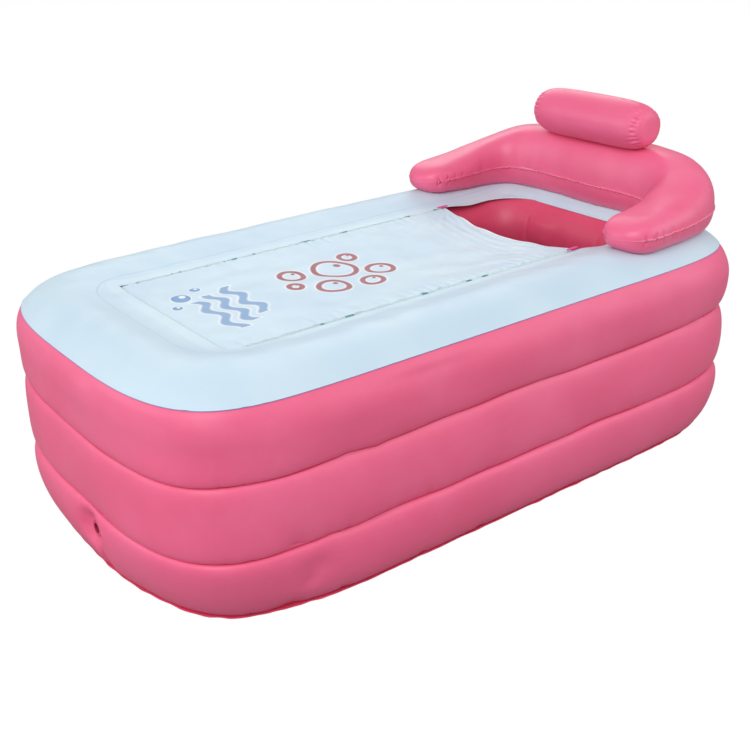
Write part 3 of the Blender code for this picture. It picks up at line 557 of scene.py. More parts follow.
class Paint(Nodes):
    """A node material, built from the shader back."""

    def __init__(self, name, roughness, **plain):
        self.made = bpy.data.materials.new(name)
        self.made.use_nodes = True
        super().__init__(self.made.node_tree)
        self.shader = self.tree.nodes["Principled BSDF"]
        self.shader.inputs["Roughness"].default_value = roughness
        for key, value in plain.items():
            self.shader.inputs[key.replace("_", " ")].default_value = value

    def vector(self, operation, *values, out=0):
        return self.node("VectorMath", dict(enumerate(values)), operation=operation).outputs[out]

    def place(self, metric_uv):
        if metric_uv:
            return self.node("UVMap", uv_map="metres").outputs[0]
        return self.node("TexCoord").outputs["Object"]

    def noise(self, where, scale, detail=2.0, roughness=0.5):
        made = self.node("TexNoise", {"Vector": where, "Scale": scale, "Detail": detail,
                                                "Roughness": roughness})
        return made.outputs["Fac"]

    def band(self, value, low, high, to_low=0.0, to_high=1.0):
        made = self.node("MapRange", {"Value": value, "From Min": low, "From Max": high,
                                                "To Min": to_low, "To Max": to_high})
        made.interpolation_type = "SMOOTHSTEP"
        return made.outputs[0]

    def mix(self, share, first, second):
        made = self.node("Mix", data_type="RGBA")
        for key, value in ((0, share), (6, first), (7, second)):
            if isinstance(value, bpy.types.NodeSocket):
                self.tree.links.new(value, made.inputs[key])
            else:
                made.inputs[key].default_value = value if key == 0 else (*value, 1)
        return made.outputs[2]

    def bump(self, height, distance, strength=1.0, below=None):
        inputs = {"Height": height, "Distance": distance, "Strength": strength}
        if below is not None:
            inputs["Normal"] = below
        return self.node("Bump", inputs).outputs[0]

    def finish(self, colour, roughness=None, normal=None):
        for key, value in (("Base Color", colour), ("Roughness", roughness), ("Normal", normal)):
            if value is not None:
                self.tree.links.new(value, self.shader.inputs[key])
        return self.made


def vinyl(name, base, pale, roughness, grain=0.00003, coat=0.0, weld=None):
    """Satin PVC film: fine grain, broad unevenness, slightly mottled colour, and, where a weld colour is
    given, painted shade darkening the creases by the welds.
    """
    paint = Paint(name, roughness, Coat_Weight=coat, Coat_Roughness=0.3)
    where = paint.place(False)
    broad = paint.noise(where, 6.0, 3.0)
    fine = paint.noise(where, 900.0, 3.0, 0.6)
    cloudy = paint.noise(where, 45.0, 3.0, 0.6)
    share = paint.plus(paint.band(broad, 0.35, 0.7, 0, 0.75), paint.band(cloudy, 0.3, 0.8, 0, 0.25))
    colour = paint.mix(share, base, pale)
    # Painted shade: near the welds the colour darkens towards the weld colour, for the shade in the creases
    if weld:
        from_weld = paint.parts(paint.place(True))[1]
        colour = paint.mix(paint.band(from_weld, 0.0003, CREASE_SHADE_REACH, 0.5, 0), colour, weld)
    rough = paint.plus(paint.band(cloudy, 0.2, 0.8, roughness - 0.05, roughness + 0.05),
                       paint.band(fine, 0.2, 0.8, -0.03, 0.03))
    slow = paint.bump(cloudy, 0.00025, 0.6)
    return paint.finish(colour, rough, paint.bump(fine, grain, 0.8, slow))


def rounded_box(paint, where, centre, half, corner):
    """Distance outside a rounded rectangle's line, negative within."""
    moved = paint.vector("ABSOLUTE", paint.vector("SUBTRACT", where, (*centre, 0)))
    beyond = paint.vector("SUBTRACT", moved, (half[0] - corner, half[1] - corner, 0))
    flat = paint.vector("MULTIPLY", paint.vector("MAXIMUM", beyond, (0, 0, 0)), (1, 1, 0))
    return paint.minus(paint.vector("LENGTH", flat, out=1), corner)


def line_mask(paint, distance, width):
    return paint.band(paint.math("ABSOLUTE", distance), width * 0.5, width, 1, 0)


def circle_mask(paint, where, centre, radius, width=0, soft=0.0008):
    """A ring of this line width, or a filled disc where the width is zero."""
    away = paint.vector("DISTANCE", where, (*centre, 0), out=1)
    if width == 0:
        return paint.band(away, radius - soft, radius + soft, 1, 0)
    return line_mask(paint, paint.minus(away, radius), width)


def printed(paint, where, colour):
    """Generic bubbles, drops and waves."""
    for x, y, radius in BUBBLES:
        halo = paint.times(circle_mask(paint, where, (x, y), radius, BUBBLE_HALO), 0.8)
        colour = paint.mix(halo, colour, WHITE)
        colour = paint.mix(circle_mask(paint, where, (x, y), radius, BUBBLE_LINE), colour, MAUVE)
        shine = (x + radius * 0.38, y + radius * 0.38)
        colour = paint.mix(circle_mask(paint, where, shine, radius * 0.18), colour, MAUVE)
    for x, y, radius in DROPS:
        colour = paint.mix(circle_mask(paint, where, (x, y), radius + 0.002), colour, WHITE)
        colour = paint.mix(circle_mask(paint, where, (x, y), radius), colour, PRINT_BLUE)
        shine = (x + radius * 0.3, y + radius * 0.3)
        colour = paint.mix(circle_mask(paint, where, shine, radius * 0.35), colour, WHITE)
    parts = paint.parts(where)
    for x, y in WAVE_ROWS:
        swing = paint.times(paint.math("SINE", paint.times(parts[1], WAVE_TURNS)), WAVE_SWING)
        away = paint.minus(paint.minus(parts[0], x), swing)
        across = paint.math("ABSOLUTE", paint.minus(parts[1], y))
        for width, tint, reach in ((WAVE_HALO, WHITE, 0.003), (WAVE_LINE, PRINT_BLUE, 0)):
            ends = paint.band(across, WAVE_HALF_LENGTH + reach - 0.001, WAVE_HALF_LENGTH + reach, 1, 0)
            stroke = paint.times(line_mask(paint, away, width), ends)
            colour = paint.mix(paint.times(stroke, 0.9), colour, tint)
    return colour


def cover_paint(name, is_flap):
    """Pale blue sheet with a weld line and a mint border; the flap's has a hem and the print."""
    paint = Paint(name, 0.5)
    where = paint.place(True)
    fine = paint.noise(where, 700.0, 3.0, 0.6)
    cloudy = paint.noise(where, 30.0, 4.0, 0.6)
    colour = paint.mix(paint.band(paint.noise(where, 5.0), 0.3, 0.7, 0, 0.8), BLUE, BLUE_PALE)
    colour = paint.mix(paint.band(cloudy, 0.45, 0.75, 0, 0.25), colour, BLUE_GREY)
    weld_line = line_mask(paint, rounded_box(paint, where, *WELD_BOX), WELD_WIDTH)
    colour = paint.mix(paint.times(weld_line, 0.22), colour, BLUE_DEEP)
    border = rounded_box(paint, where, *MINT_BOX)
    mint = paint.times(paint.band(border, -0.001, 0.001, 0.22, 0), paint.band(border, -0.030, -0.026, 0, 1))
    colour = paint.mix(mint, colour, MINT)
    relief = paint.times(weld_line, 1.2)
    if is_flap:
        colour = printed(paint, where, colour)
        parts = paint.parts(where)
        dip = paint.math("POWER", paint.math("DIVIDE", parts[1], ZIP_Y - EDGE_GAP), 2.0)
        hem = paint.plus(paint.minus(FLAP_EDGE_X - FLAP_EDGE_DIP, parts[0]), paint.times(dip, FLAP_EDGE_DIP))
        colour = paint.mix(paint.band(hem, 0.004, HEM_WIDTH, 0.55, 0), colour, WHITE)
        relief = paint.times(line_mask(paint, paint.minus(hem, HEM_WIDTH), STITCH_WIDTH), -1.2)
    slow = paint.bump(paint.plus(paint.times(cloudy, 0.5), relief), 0.0005, 0.7)
    rough = paint.band(cloudy, 0.2, 0.8, 0.44, 0.56)
    return paint.finish(colour, rough, paint.bump(fine, 0.00004, 0.8, slow))


def woven(name, base, dark):
    """Narrow woven tape: a twill of fine threads."""
    paint = Paint(name, 0.85, Sheen_Weight=0.15)
    where = paint.place(False)
    weave = paint.times(*(paint.node("TexWave", {"Vector": where, "Scale": scale},
                                     bands_direction=way).outputs["Fac"]
                          for scale, way in ((500.0, "Y"), (350.0, "X"))))
    fuzz = paint.band(paint.noise(where, 1500.0, 2.0), 0.2, 0.8, 0.2, 0.6)
    share = paint.times(paint.minus(1.0, weave), fuzz)
    return paint.finish(paint.mix(share, base, dark), None, paint.bump(weave, 0.00012, 0.8))


def moulded(name, base, pale, roughness, metallic=0.0, **plain):
    """Small moulded or cast piece: faint flow marks and handling wear."""
    paint = Paint(name, roughness, Metallic=metallic, **plain)
    where = paint.place(False)
    marks = paint.noise(where, 260.0, 3.0, 0.6)
    wear = paint.noise(where, 1400.0, 2.0, 0.7)
    colour = paint.mix(paint.band(marks, 0.35, 0.7, 0, 1), base, pale)
    rough = paint.band(wear, 0.25, 0.75, roughness - 0.08, roughness + 0.1)
    return paint.finish(colour, rough, paint.bump(marks, 0.00005, 0.6))


def nylon():
    """Pale coil with a few dark stretches along it."""
    paint = Paint("zip_coil", 0.45)
    where = paint.place(False)
    marks = paint.noise(where, 260.0, 3.0, 0.6)
    dashes = paint.noise(paint.vector("MULTIPLY", where, (1, 0.02, 0.02)), 38.0, 2.0)
    colour = paint.mix(paint.band(marks, 0.35, 0.7), COIL_MINT, MINT)
    colour = paint.mix(paint.band(dashes, 0.605, 0.62), colour, DASH_TEAL)
    return paint.finish(colour, None, paint.bump(marks, 0.00005, 0.6))


# The rings' weld colour here is painted shade in the creases between the rings
PVC = vinyl("pink_pvc", PINK, PINK_PALE, 0.50, coat=0.08, weld=(0.50, 0.03, 0.08))
PVC_CUSHION = vinyl("pink_pvc_cushion", PINK, PINK_PALE, 0.44, coat=0.15)
# Darker deep pink copy of the pink PVC: on the rings' inner walls it is painted shade; the floor cushion,
# base sheet and drain tube wear it too
PVC_INNER = vinyl("deep_pink_pvc", DEEP_PINK, DEEP_PINK_PALE, 0.45)
# Painted shade: near-black red for the inside of the drain's bore
PVC_BORE_SHADE = vinyl("deep_pink_pvc_bore_shade", (0.30, 0.010, 0.045), (0.36, 0.015, 0.06), 0.55)
PVC_WELD = vinyl("pink_pvc_weld", (0.90, 0.20, 0.34), (0.93, 0.27, 0.40), 0.45)
# Painted shade: a thin dark blue line along the deck's welded outer edge
EDGE_SHADE_PAINT = vinyl("cover_blue_edge_shade", BLUE_EDGE_SHADE, (0.26, 0.38, 0.66), 0.5)
DECK_PAINT = cover_paint("cover_blue", False)
FLAP_PAINT = cover_paint("cover_blue_print", True)
TAPE = woven("zip_tape", MINT, TEAL)
NYLON = nylon()
CAST = moulded("slider_enamel", ENAMEL, (0.78, 0.85, 0.86), 0.32, 0.3)
TAB = moulded("pull_pink", MAGENTA, (0.90, 0.12, 0.45), 0.38)
SOFT_CLEAR = moulded("valve_vinyl", MILKY, (0.92, 0.87, 0.88), 0.28, 0.0, Subsurface_Weight=0.15)


# Rings

def bulged(turn, low, high, bulge=BULGE, whole=np.pi):
    """Share of a wall's height, height and bulge, at each turn up the wall."""
    share = (1 - np.cos(turn)) / (1 - math.cos(whole))
    return share, low + (high - low) * share, bulge * np.abs(np.sin(turn)) ** (2 / BULGE_POWER)


def section_of(*stretches):
    """Section points: inset, height, share up the wall, and 1 on the outer wall falling to 0 inside."""
    return np.concatenate([np.stack(np.broadcast_arrays(*stretch), 1) for stretch in stretches])


def ring_section(low, high, draw_in, outer_count):
    turn = np.pi * np.arange(outer_count + 1) / outer_count
    share, height, out = bulged(turn, low, high, BULGE + draw_in * 0.25)
    back_share, back_height, back = bulged(np.pi * (1 - np.arange(INNER_STEPS + 1) / INNER_STEPS), low, high)
    flat = np.arange(1, FLAT_STEPS) / FLAT_STEPS
    return section_of((draw_in * (1 - share) - out, height, share, 1), (WALL * flat, high, 1, 1 - flat),
                      (WALL + back, back_height, back_share, 0),
                      (WALL + (draw_in - WALL) * flat, low, 0, flat))


def top_section(low):
    quarter = np.pi / 2
    share, height, out = bulged(quarter * np.arange(TOP_STEPS) / TOP_STEPS, low, TOP_MIDDLE, BULGE, quarter)
    turn = np.pi * np.arange(CREST_STEPS + 1) / CREST_STEPS
    back = quarter * (1 - np.arange(1, TOP_INNER_STEPS + 1) / TOP_INNER_STEPS)
    back_share, back_height, back = bulged(back, low, TOP_MIDDLE, BULGE, quarter)
    flat = np.arange(1, FLAT_STEPS) / FLAT_STEPS
    return section_of((-out, height, share, 1), (*crest(turn, 0), 1, turn < quarter),
                      (WALL + back, back_height, back_share, 0), (WALL * (1 - flat), low, 0, flat))


def crest(turn, extra):
    out = (WALL / 2 + BULGE + extra) * np.cos(turn)
    return WALL / 2 - out, TOP_MIDDLE + (TOP_RISE + extra) * np.sin(turn)


def crease_shift(name, seed):
    """How far a weld crease strays from its level, round the tub."""
    shift = 0.0011 * waves(AROUND, None, 0.15, 0.7, 8, seed)
    for x, rise, width in CREASE_STEPS[name]:
        shift = shift + rise * 0.5 * bell(EDGE_X - x, width) * NEAR_SIDE
    return shift


def ring_grid(section, low_shift, high_shift, low, high, less, corner_less):
    """Section carried round the outline, slimmed at the foot end and its corners."""
    inset, height, share, outer = section.T
    arch = np.sin(np.pi * np.clip((height - low) / (high - low), 0, 1))
    slim = (smooth(0.40, 0.66, -EDGE_X) * less + FOOT_CORNER * corner_less)[:, None] * arch
    x, y = outline(TURNS[:, None], inset + slim * outer)
    lift = low_shift[:, None] * (1 - share) + high_shift[:, None] * share
    return np.stack([x, y, height + lift * outer], axis=2)


def dress_ring(grid, section, seed, weld, top_limit):
    """Uneven bulge, puckers at the welds, and the dents that show in the photograph."""
    rng = np.random.RandomState(seed)
    normal = grid_normals(grid, True, True)
    normal *= np.sign((normal * (grid - grid.mean(axis=1, keepdims=True))).sum(2).mean())
    from_low = lengths(section[:, 0], section[:, 1])
    from_high = np.abs(from_low[weld] - from_low)
    around, near = AROUND[:, None], NEAR_SIDE[:, None]
    push = 0.0007 * waves(around, from_low, 0.12, 0.5, 10, seed)
    folds = [scattered(rng, 90, AROUND[-1], around, away, RING_PUCKERS) for away in (from_low, from_high)]
    push = push + sum(folds) * (0.35 + 0.9 * CORNER[:, None])
    for x, z, radius, depth in NEAR_DENTS:
        push = push - near * depth * bell(np.hypot(grid[..., 0] - x, grid[..., 2] - z), radius)
    calm = smooth(0, WELD_CALM, from_low) * (np.arange(len(section)) <= weld)
    if top_limit:
        calm = calm * (1 - smooth(top_limit - 0.02, top_limit - 0.004, grid[..., 2]))
    else:
        for x, width, depth in BASE_TUCKS:
            line = (grid[..., 0] - x) / (width * (1 + from_low / TUCK_REACH))
            push = push - near * depth * bell(line) * bell(from_low, TUCK_REACH)
        calm = calm * smooth(0, WELD_CALM, from_high)
    return grid + normal * (push * calm)[..., None]


def foot_tuck(grid):
    """Fold that the drain's weld draws down to the floor sheet."""
    place, width, depth, height = FOOT_TUCK
    x, y, z = np.moveaxis(grid, 2, 0)
    fold = depth * bell(y - place + 0.1 * (height - z), width) * (1 - smooth(0.02, height, z))
    return np.stack([x + np.where(x < -0.6, fold * smooth(RING_LOW, 0.012, z), 0), y, z], 2)


def inner_creases(grid):
    """Short upright weld creases on the inner head wall, which shows through the opening."""
    x, y, z = np.moveaxis(grid, 2, 0)
    inside = (x > 0.45) & (x < 0.56) & (np.abs(y) < 0.2)
    push = sum(depth * bell(y - place, width) for place, width, depth in INNER_CREASES)
    tall = smooth(0.325, 0.352, z) * (1 - smooth(0.385, 0.405, z))
    return np.stack([x + np.where(inside, push * tall, 0), y, z], 2)


def ring_mesh(name, grid, seats, section, weld):
    rows, columns = grid.shape[:2]
    points, faces = seated(grid.reshape(-1, 3), grid_faces(rows, columns, True, True), seats)
    from_weld = lengths(section[:, 0], section[:, 1])
    if name != "top_ring":
        from_weld = np.minimum(from_weld, np.abs(from_weld[weld] - from_weld))
    uv = np.stack(np.broadcast_arrays(AROUND[:, None], from_weld), 2).reshape(-1, 2)
    made = mesh_object(f"{name}_skin", points, faces, PVC, uv)
    # Painted shade: the walls inside the tub take the darker deep pink copy of the skin's material
    inside = np.nonzero(section[:, 0] > INNER_FROM)[0]
    column = face_corners(made)[:, 0] % columns
    paint_faces(made, PVC_INNER, (column >= inside[0]) & (column < inside[-1]))
    stand_in(made, name)


def valve_seat(name):
    place, outward, side, share = VALVES[name]
    flat, rim, level, creases, hole = VALVE_SEAT
    return placed(place, outward, side), flat * share, rim * share, level, creases, hole * share


def make_rings():
    level = np.zeros(STATIONS)
    low, high = crease_shift("low", 3), crease_shift("high", 4)
    mouth = placed((DRAIN_MOUTH_X, *DRAIN_PLACE[1:]), (-1, 0, 0), UP)
    drain = [(mouth, *MOUTH_SEAT), (placed(DRAIN_PLACE, (1, 0, 0), UP), *NOZZLE_SEAT)]
    bottom = ring_section(RING_LOW, BOTTOM_TOP - GAP, BASE_DRAW_IN, BOTTOM_STEPS)
    middle = ring_section(BOTTOM_TOP, MIDDLE_TOP, 0, MIDDLE_STEPS)
    top = top_section(MIDDLE_TOP + GAP)
    for name, section, below, above, slim, seed, weld, top_limit, extra_seats in (
            ("bottom_ring", bottom, level, low, BOTTOM_SLIM, 11, BOTTOM_STEPS, None, drain),
            ("middle_ring", middle, low, high, MIDDLE_SLIM, 12, MIDDLE_STEPS, None, []),
            ("top_ring", top, high, level, TOP_SLIM, 13, TOP_WELD, CREST - 0.045, [])):
        grid = dress_ring(ring_grid(section, below, above, *slim), section, seed, weld, top_limit)
        ring_mesh(name, inner_creases(foot_tuck(grid)), [valve_seat(name), *extra_seats], section, weld)


# Cover

def deck_section():
    """Insets and heights of the deck's top, from its welded edge to inside the opening."""
    inset, height = crest(np.linspace(EDGE_TURN, LEAVE_TURN, 40), DECK_OVER)
    share = np.linspace(0, 1, 16)[1:]
    slope = -COVER_FALL_SLOPE * COVER_FALL * share * (1 - share) ** 2
    fall = COVER_LEVEL + (height[-1] - COVER_LEVEL) * (1 - share) ** 2 * (1 + 2 * share) + slope
    return (np.concatenate([inset, inset[-1] + COVER_FALL * share, [INNER_REACH]]),
            np.concatenate([height, fall, [COVER_LEVEL]]))


def edge_gap(x):
    """How far a sheet's edge keeps from the zip's line: it meets the other sheet's past the coils' foot."""
    return SLIT_GAP + (EDGE_GAP - SLIT_GAP) * smooth(COIL_FOOT_X - 0.006, COIL_FOOT_X - 0.001, x)


def opening_distance(x, y):
    """How far outside the deck's opening a point lies."""
    half = ZIP_Y + edge_gap(x)
    beyond = np.hypot(np.maximum(x - OPENING_HEAD_X + OPENING_CORNER, 0),
                      np.maximum(np.abs(y) - half + OPENING_CORNER, 0)) - OPENING_CORNER
    square = np.maximum(HINGE_X + FOOT_OVER - x, np.abs(y) - half)
    return np.where(x > OPENING_HEAD_X - OPENING_CORNER, np.maximum(beyond, x - OPENING_HEAD_X), square)


def ring_top(inset):
    """Height of the top ring's crest at an inset, and 0 past its inner wall."""
    turns = np.linspace(0, np.pi, 200)
    reach, height = crest(turns, 0)
    return np.where(inset < reach[-1], np.interp(inset, reach, height), 0)

def make_deck():
    inset, height = deck_section()
    measure = lengths(inset, height)
    insets = last_where(lambda inset: opening_distance(*outline(TURNS, inset)) > 0,
                        np.full(STATIONS, 0.05), np.full(STATIONS, INNER_REACH + 0.05))
    end = np.interp(insets, inset, measure)[:, None]
    share = np.linspace(0, 1, DECK_COLUMNS)[None, 1:] ** 0.85
    wanted = [0 * end, 0 * end + EDGE_SHADE_WIDTH, end * share, end + LAP_STEP, end + 2 * LAP_STEP]
    wanted = np.concatenate(wanted, 1)
    insets, heights = np.interp(wanted, measure, inset), np.interp(wanted, measure, height)
    heights[:, DECK_COLUMNS + 1:] -= LAP_DROP
    x, y = outline(TURNS[:, None], insets)
    from_hole = np.maximum(end - wanted, 0)
    around = AROUND[:, None]
    lift = 0.0006 * (1 + waves(around, wanted, 0.08, 0.3, 10, 21)) * smooth(0, 0.03, wanted)
    folds = scattered(np.random.RandomState(22), 70, AROUND[-1], around, wanted, DECK_PUCKERS)
    lift += 0.0005 * bell(wanted, 0.002) - folds * (0.3 + CORNER[:, None])
    lift *= (1 - smooth(0.26, 0.32, x)) * (1 - smooth(0.02, 0.0, from_hole) * 0.9)
    droop = EDGE_DROOP * smooth(DROOP_REACH, 0, from_hole) * smooth(0.345, 0.43, x)
    z = np.maximum(heights + lift - droop, np.minimum(heights, ring_top(insets) + DECK_OVER))
    made = sheet_mesh("cover_deck_sheet", np.stack([x, y, z], 2), SHEET_THICKNESS, DECK_PAINT, True)
    # Painted shade: the deck's outermost strip gets the dark blue edge line
    paint_faces(made, EDGE_SHADE_PAINT, (face_corners(made) % wanted.shape[1] <= 1).all(1))
    stand_in(made, "cover_deck")


def corner_fan(x, y, corner, side, seed):
    """Folds that fan out over the flap from a slider."""
    rng = np.random.RandomState(seed)
    along, across = corner[0] - x, np.abs(y - side * corner[1])
    away, angle = np.hypot(along, across), np.arctan2(across, along)
    fan = 0
    for lean in FAN_LEANS:
        lean += 0.06 * (rng.rand() - 0.5)
        width, reach, size = 0.06 + 0.03 * rng.rand(), 0.13 + 0.12 * rng.rand(), 0.0011 + 0.0010 * rng.rand()
        fan = fan + size * bell(angle - lean, width) * smooth(0.004, 0.07, away) * bell(away, reach)
    return fan


def make_flap():
    half = ZIP_Y - EDGE_GAP
    across = signed_power(np.linspace(-1, 1, FLAP_COLUMNS), 0.8)[None, :]
    end = FLAP_EDGE_X - FLAP_EDGE_DIP * (1 - across ** 2)
    along = (1 - (1 - np.linspace(0, 1, FLAP_ROWS)) ** 1.35)[:, None]
    start = HINGE_X - FOOT_LAP
    x = start + (end - start) * along
    from_hinge, to_edge = x - HINGE_X, end - x
    y = (ZIP_Y - edge_gap(x) + FOOT_WIDER * (1 - smooth(FOOT_OVER - 0.001, 0.010, from_hinge))) * across
    depth = FLAP_SAG * np.maximum(1 - (y / FLAP_SLACK) ** 2, 0) * (1 - FLAP_LEAN * y / half)
    free = 1 - smooth(0.13, FLAP_SLACK, np.abs(y))
    corner = (FLAP_EDGE_X - 0.004, half - 0.004)
    fan = corner_fan(x, y, corner, 1, 31) + corner_fan(x, y, corner, -1, 32)
    soft = 0.0010 * waves(x, y * 1.4, 0.09, 0.30, 12, 33) * free
    cross = 0.0005 * (1 + waves(x, None, 0.02, 0.06, 8, 34)) * smooth(0.15, FLAP_SLACK, np.abs(y))
    lines = 0.0007 * np.sin(2 * math.pi * to_edge / 0.024 + 3 * y / half) * np.exp(-to_edge / 0.06)
    lines = lines * free * smooth(0.006, 0.02, to_edge)
    hem = 0.0006 * (1 - smooth(0.004, HEM_WIDTH, to_edge))
    z = COVER_LEVEL - depth * np.sin(math.pi / 2 * (x - start) / (end - start)) ** 2
    z += (fan + soft + cross + lines) * smooth(0.008, 0.04, x - start)
    z += hem - FOOT_DROP * (1 - smooth(FOOT_OVER, 0.014, from_hinge))
    made = sheet_mesh("cover_flap_sheet", np.stack([x, y, z], 2), SHEET_THICKNESS, FLAP_PAINT, False)
    paint_faces(made, DECK_PAINT, (face_corners(made) >= x.size).all(1))
    stand_in(made, "cover_flap", None)
    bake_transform(made)


def make_coil(owner, side_name, side):
    """Nylon coil: a flattened spiral of teeth along the tape's edge."""
    way = side if owner == "deck" else -side
    near = side * ZIP_Y + way * COIL_NEAR
    steps, sides, wire = COIL_STEPS, COIL_SIDES, COIL_WIRE
    angle = np.arange(int((COIL_HEAD_X - COIL_FOOT_X) / COIL_PITCH) * steps + 1) / steps * 2 * np.pi
    shift = 0 if owner == "deck" else COIL_PITCH / 2
    x = COIL_FOOT_X + wire + angle / (2 * np.pi) * COIL_PITCH * 0.998 + shift
    reach = COIL_WIDTH / 2 - wire
    rise = (COIL_TOP - COIL_LOW) / 2 - wire
    centre = np.stack([x, near + way * (COIL_WIDTH / 2 + reach * signed_power(np.cos(angle), 0.8)),
                       (COIL_TOP + COIL_LOW) / 2 + rise * signed_power(np.sin(angle), 0.7)], 1)
    tangent = unit(np.gradient(centre, axis=0))
    across = unit(np.cross(tangent, (1.0, 0, 0)))[:, None, :]
    other = np.cross(tangent, across[:, 0])[:, None, :]
    k = 2 * np.pi * np.arange(sides)[None, :, None] / sides
    grid = centre[:, None, :] + (across * np.cos(k) + other * np.sin(k)) * wire
    name = f"zip_coil_{owner}_{side_name}"
    made = mesh_object(f"{name}_spiral", grid.reshape(-1, 3), grid_faces(len(x), sides, False, True), NYLON)
    stand_in(made, name, "tub" if owner == "deck" else "flap")


# Air pieces

def rest_line(turn):
    """The backrest's middle line in plan, from one tip to the other."""
    reach = np.abs(np.sin(turn)) ** (2 / REST_POWERS[0])
    y = -REST_SPAN * signed_power(np.cos(turn), 2 / REST_POWERS[1])
    return REST_TIP_X + REST_REACH * reach - REST_SKEW * y / REST_SPAN * (1 - reach), y


def rest_stations():
    """Places along the backrest, closer at its tips."""
    last = 20000
    index = np.arange(last + 1)
    fine = np.pi * (1 - np.cos(np.linspace(0, np.pi, last + 1))) / 2
    weight = 1 + 2.2 * (np.minimum(index, last - index) / last < 0.22)
    place = np.append(spread(*rest_line(fine), weight, REST_ROWS - 1), last)
    return rest_line(np.interp(place, index, fine))


def rest_across(x, y):
    """Way across the backrest at each place, turned softly round its bends."""
    along = unit(np.stack([np.gradient(x), np.gradient(y)], 1))
    kernel = np.ones(REST_SOFT) / REST_SOFT
    for _ in range(2):
        padded = np.pad(along, ((REST_SOFT // 2,) * 2, (0, 0)), mode="edge")
        along = np.stack([np.convolve(line, kernel, "valid") for line in padded.T], 1)
    along = unit(along)
    return np.stack([along[:, 1], -along[:, 0]], 1)


def rest_sections(back, tip):
    """How far out and up each point of the section lies at each place, and how far from the seam."""
    half, crown, under = (low_high[0] + (low_high[1] - low_high[0]) * share for low_high, share in (
        (REST_HALF, back), (REST_CROWN, back ** REST_CROWN_POWER), (REST_UNDER, back)))
    half = half * tip
    angles = np.pi * (1 - np.cos(np.pi * np.arange(REST_SIDES + 1) / REST_SIDES)) / 2
    out, rise, away = [], [], []
    for sign, height in ((1, crown * tip), (-1, under * tip)):
        turn = angles[::sign]
        lip = sign * (half + REST_LIP * tip)
        up = REST_WELD + (height - REST_WELD) * np.sin(turn) ** 0.95
        out.append(np.hstack([lip, half * signed_power(np.cos(turn), REST_SIDE_POWER), -lip]))
        rise.append(sign * np.pad(up, ((0, 0), (1, 1)), constant_values=REST_WELD))
        away.append(np.pad(np.minimum(turn, np.pi - turn), 1, mode="edge") * half)
    return np.hstack(out), np.hstack(rise), np.hstack(away)


def make_backrest():
    """Horseshoe cushion: a crowned top sheet welded to a shallower under sheet."""
    x, y = rest_stations()
    t = lengths(x, y)[:, None]
    whole = t[-1, 0]
    across = rest_across(x, y)[:, None, :]
    back = np.clip((x - REST_TIP_X) / REST_REACH, 0, 1)[:, None]
    from_tip = np.minimum(t, whole - t)
    tip = np.maximum((1 - np.clip(1 - from_tip / TIP_ROUNDING, 0, 1) ** 2.2) ** (1 / 2.2), 0.06)
    out, rise, away = rest_sections(back, tip)
    seam = REST_SEAM[0] + (REST_SEAM[1] - REST_SEAM[0]) * back
    rng = np.random.RandomState(41)
    push = 0.0008 * waves(t, out, 0.08, 0.35, 10, 42)
    for side in (1, -1):
        small = scattered(rng, 60, whole, t, away, REST_PUCKERS)
        tips = TIP_PUCKERS + 0.004 * (rng.rand(len(TIP_PUCKERS)) - 0.5)
        tips = np.concatenate([tips, whole - tips])
        deep = puckers(t, away, tips, TIP_PUCKER_WIDTH + 0 * tips, TIP_PUCKER_REACH + 0 * tips,
                       np.tile(TIP_DEPTHS, 2), 0.1 * (rng.rand(len(tips)) - 0.5))
        push = push + (small + deep) * (np.sign(out) == side)
    frill = REST_FRILL * waves(t, None, 0.012, 0.03, 6, 43) * np.exp(-away / 0.004)
    px, py = x[:, None] + across[..., 0] * out, y[:, None] + across[..., 1] * out
    grid = np.stack([px, py, seam + rise + frill], 2)
    normal = grid_normals(grid, False, True)
    centre = np.stack([x[:, None], y[:, None], seam], 2)
    normal *= np.sign((normal * (grid - centre)).sum(2)[REST_ROWS // 2].mean())
    grid += normal * (push * smooth(0, 0.02, from_tip))[..., None]
    floor = np.interp(inset_at(grid[..., 0], grid[..., 1]), *deck_section()) + REST_LIFT
    grid[..., 2] = np.minimum(np.maximum(grid[..., 2], floor), pillow_under(grid[..., 0], grid[..., 1]))
    made = capped_tube("backrest_skin", grid, PVC_CUSHION, "backrest")
    columns, last = grid.shape[1], REST_SIDES + 2
    lips = [0, last - 1, last, last + 1, columns - 2, columns - 1]
    paint_faces(made, PVC_WELD, np.isin(face_corners(made)[:, 0] % columns, lips))
    stand_in(made, "backrest")


def pillow_radius(along):
    """The pillow's radius at a share of its half length."""
    return PILLOW_RADIUS * (1 - along ** PILLOW_POWER) ** (1 / PILLOW_POWER)


def pillow_under(x, y):
    """Height of the pillow's underside over a point, which the backrest gives way to."""
    cx, cy, cz = PILLOW_CENTRE
    chord = pillow_radius(np.minimum(np.abs(y - cy) / (PILLOW_LENGTH / 2), 1)) ** 2 - (x - cx) ** 2
    return np.where(chord > 0, cz - np.sqrt(np.maximum(chord, 0)) - GAP, 9)


def capped_tube(name, grid, material, valve):
    """Closed skin on open rows of closed loops, its ends drawn to a point, seated on its valve."""
    rows, columns = grid.shape[:2]
    points = np.concatenate([grid.reshape(-1, 3), grid[0].mean(0)[None], grid[-1].mean(0)[None]])
    points, faces = seated(points, grid_faces(rows, columns, False, True), [valve_seat(valve)])
    k = np.arange(0, columns, 2)
    ring = np.stack([k, (k + 1) % columns, (k + 2) % columns], 1)
    apex = np.full_like(k, rows * columns)[:, None]
    caps = [np.hstack([ring, apex]), np.hstack([ring[:, ::-1] + (rows - 1) * columns, apex + 1])]
    return mesh_object(name, points, np.concatenate([faces, *caps]), material)


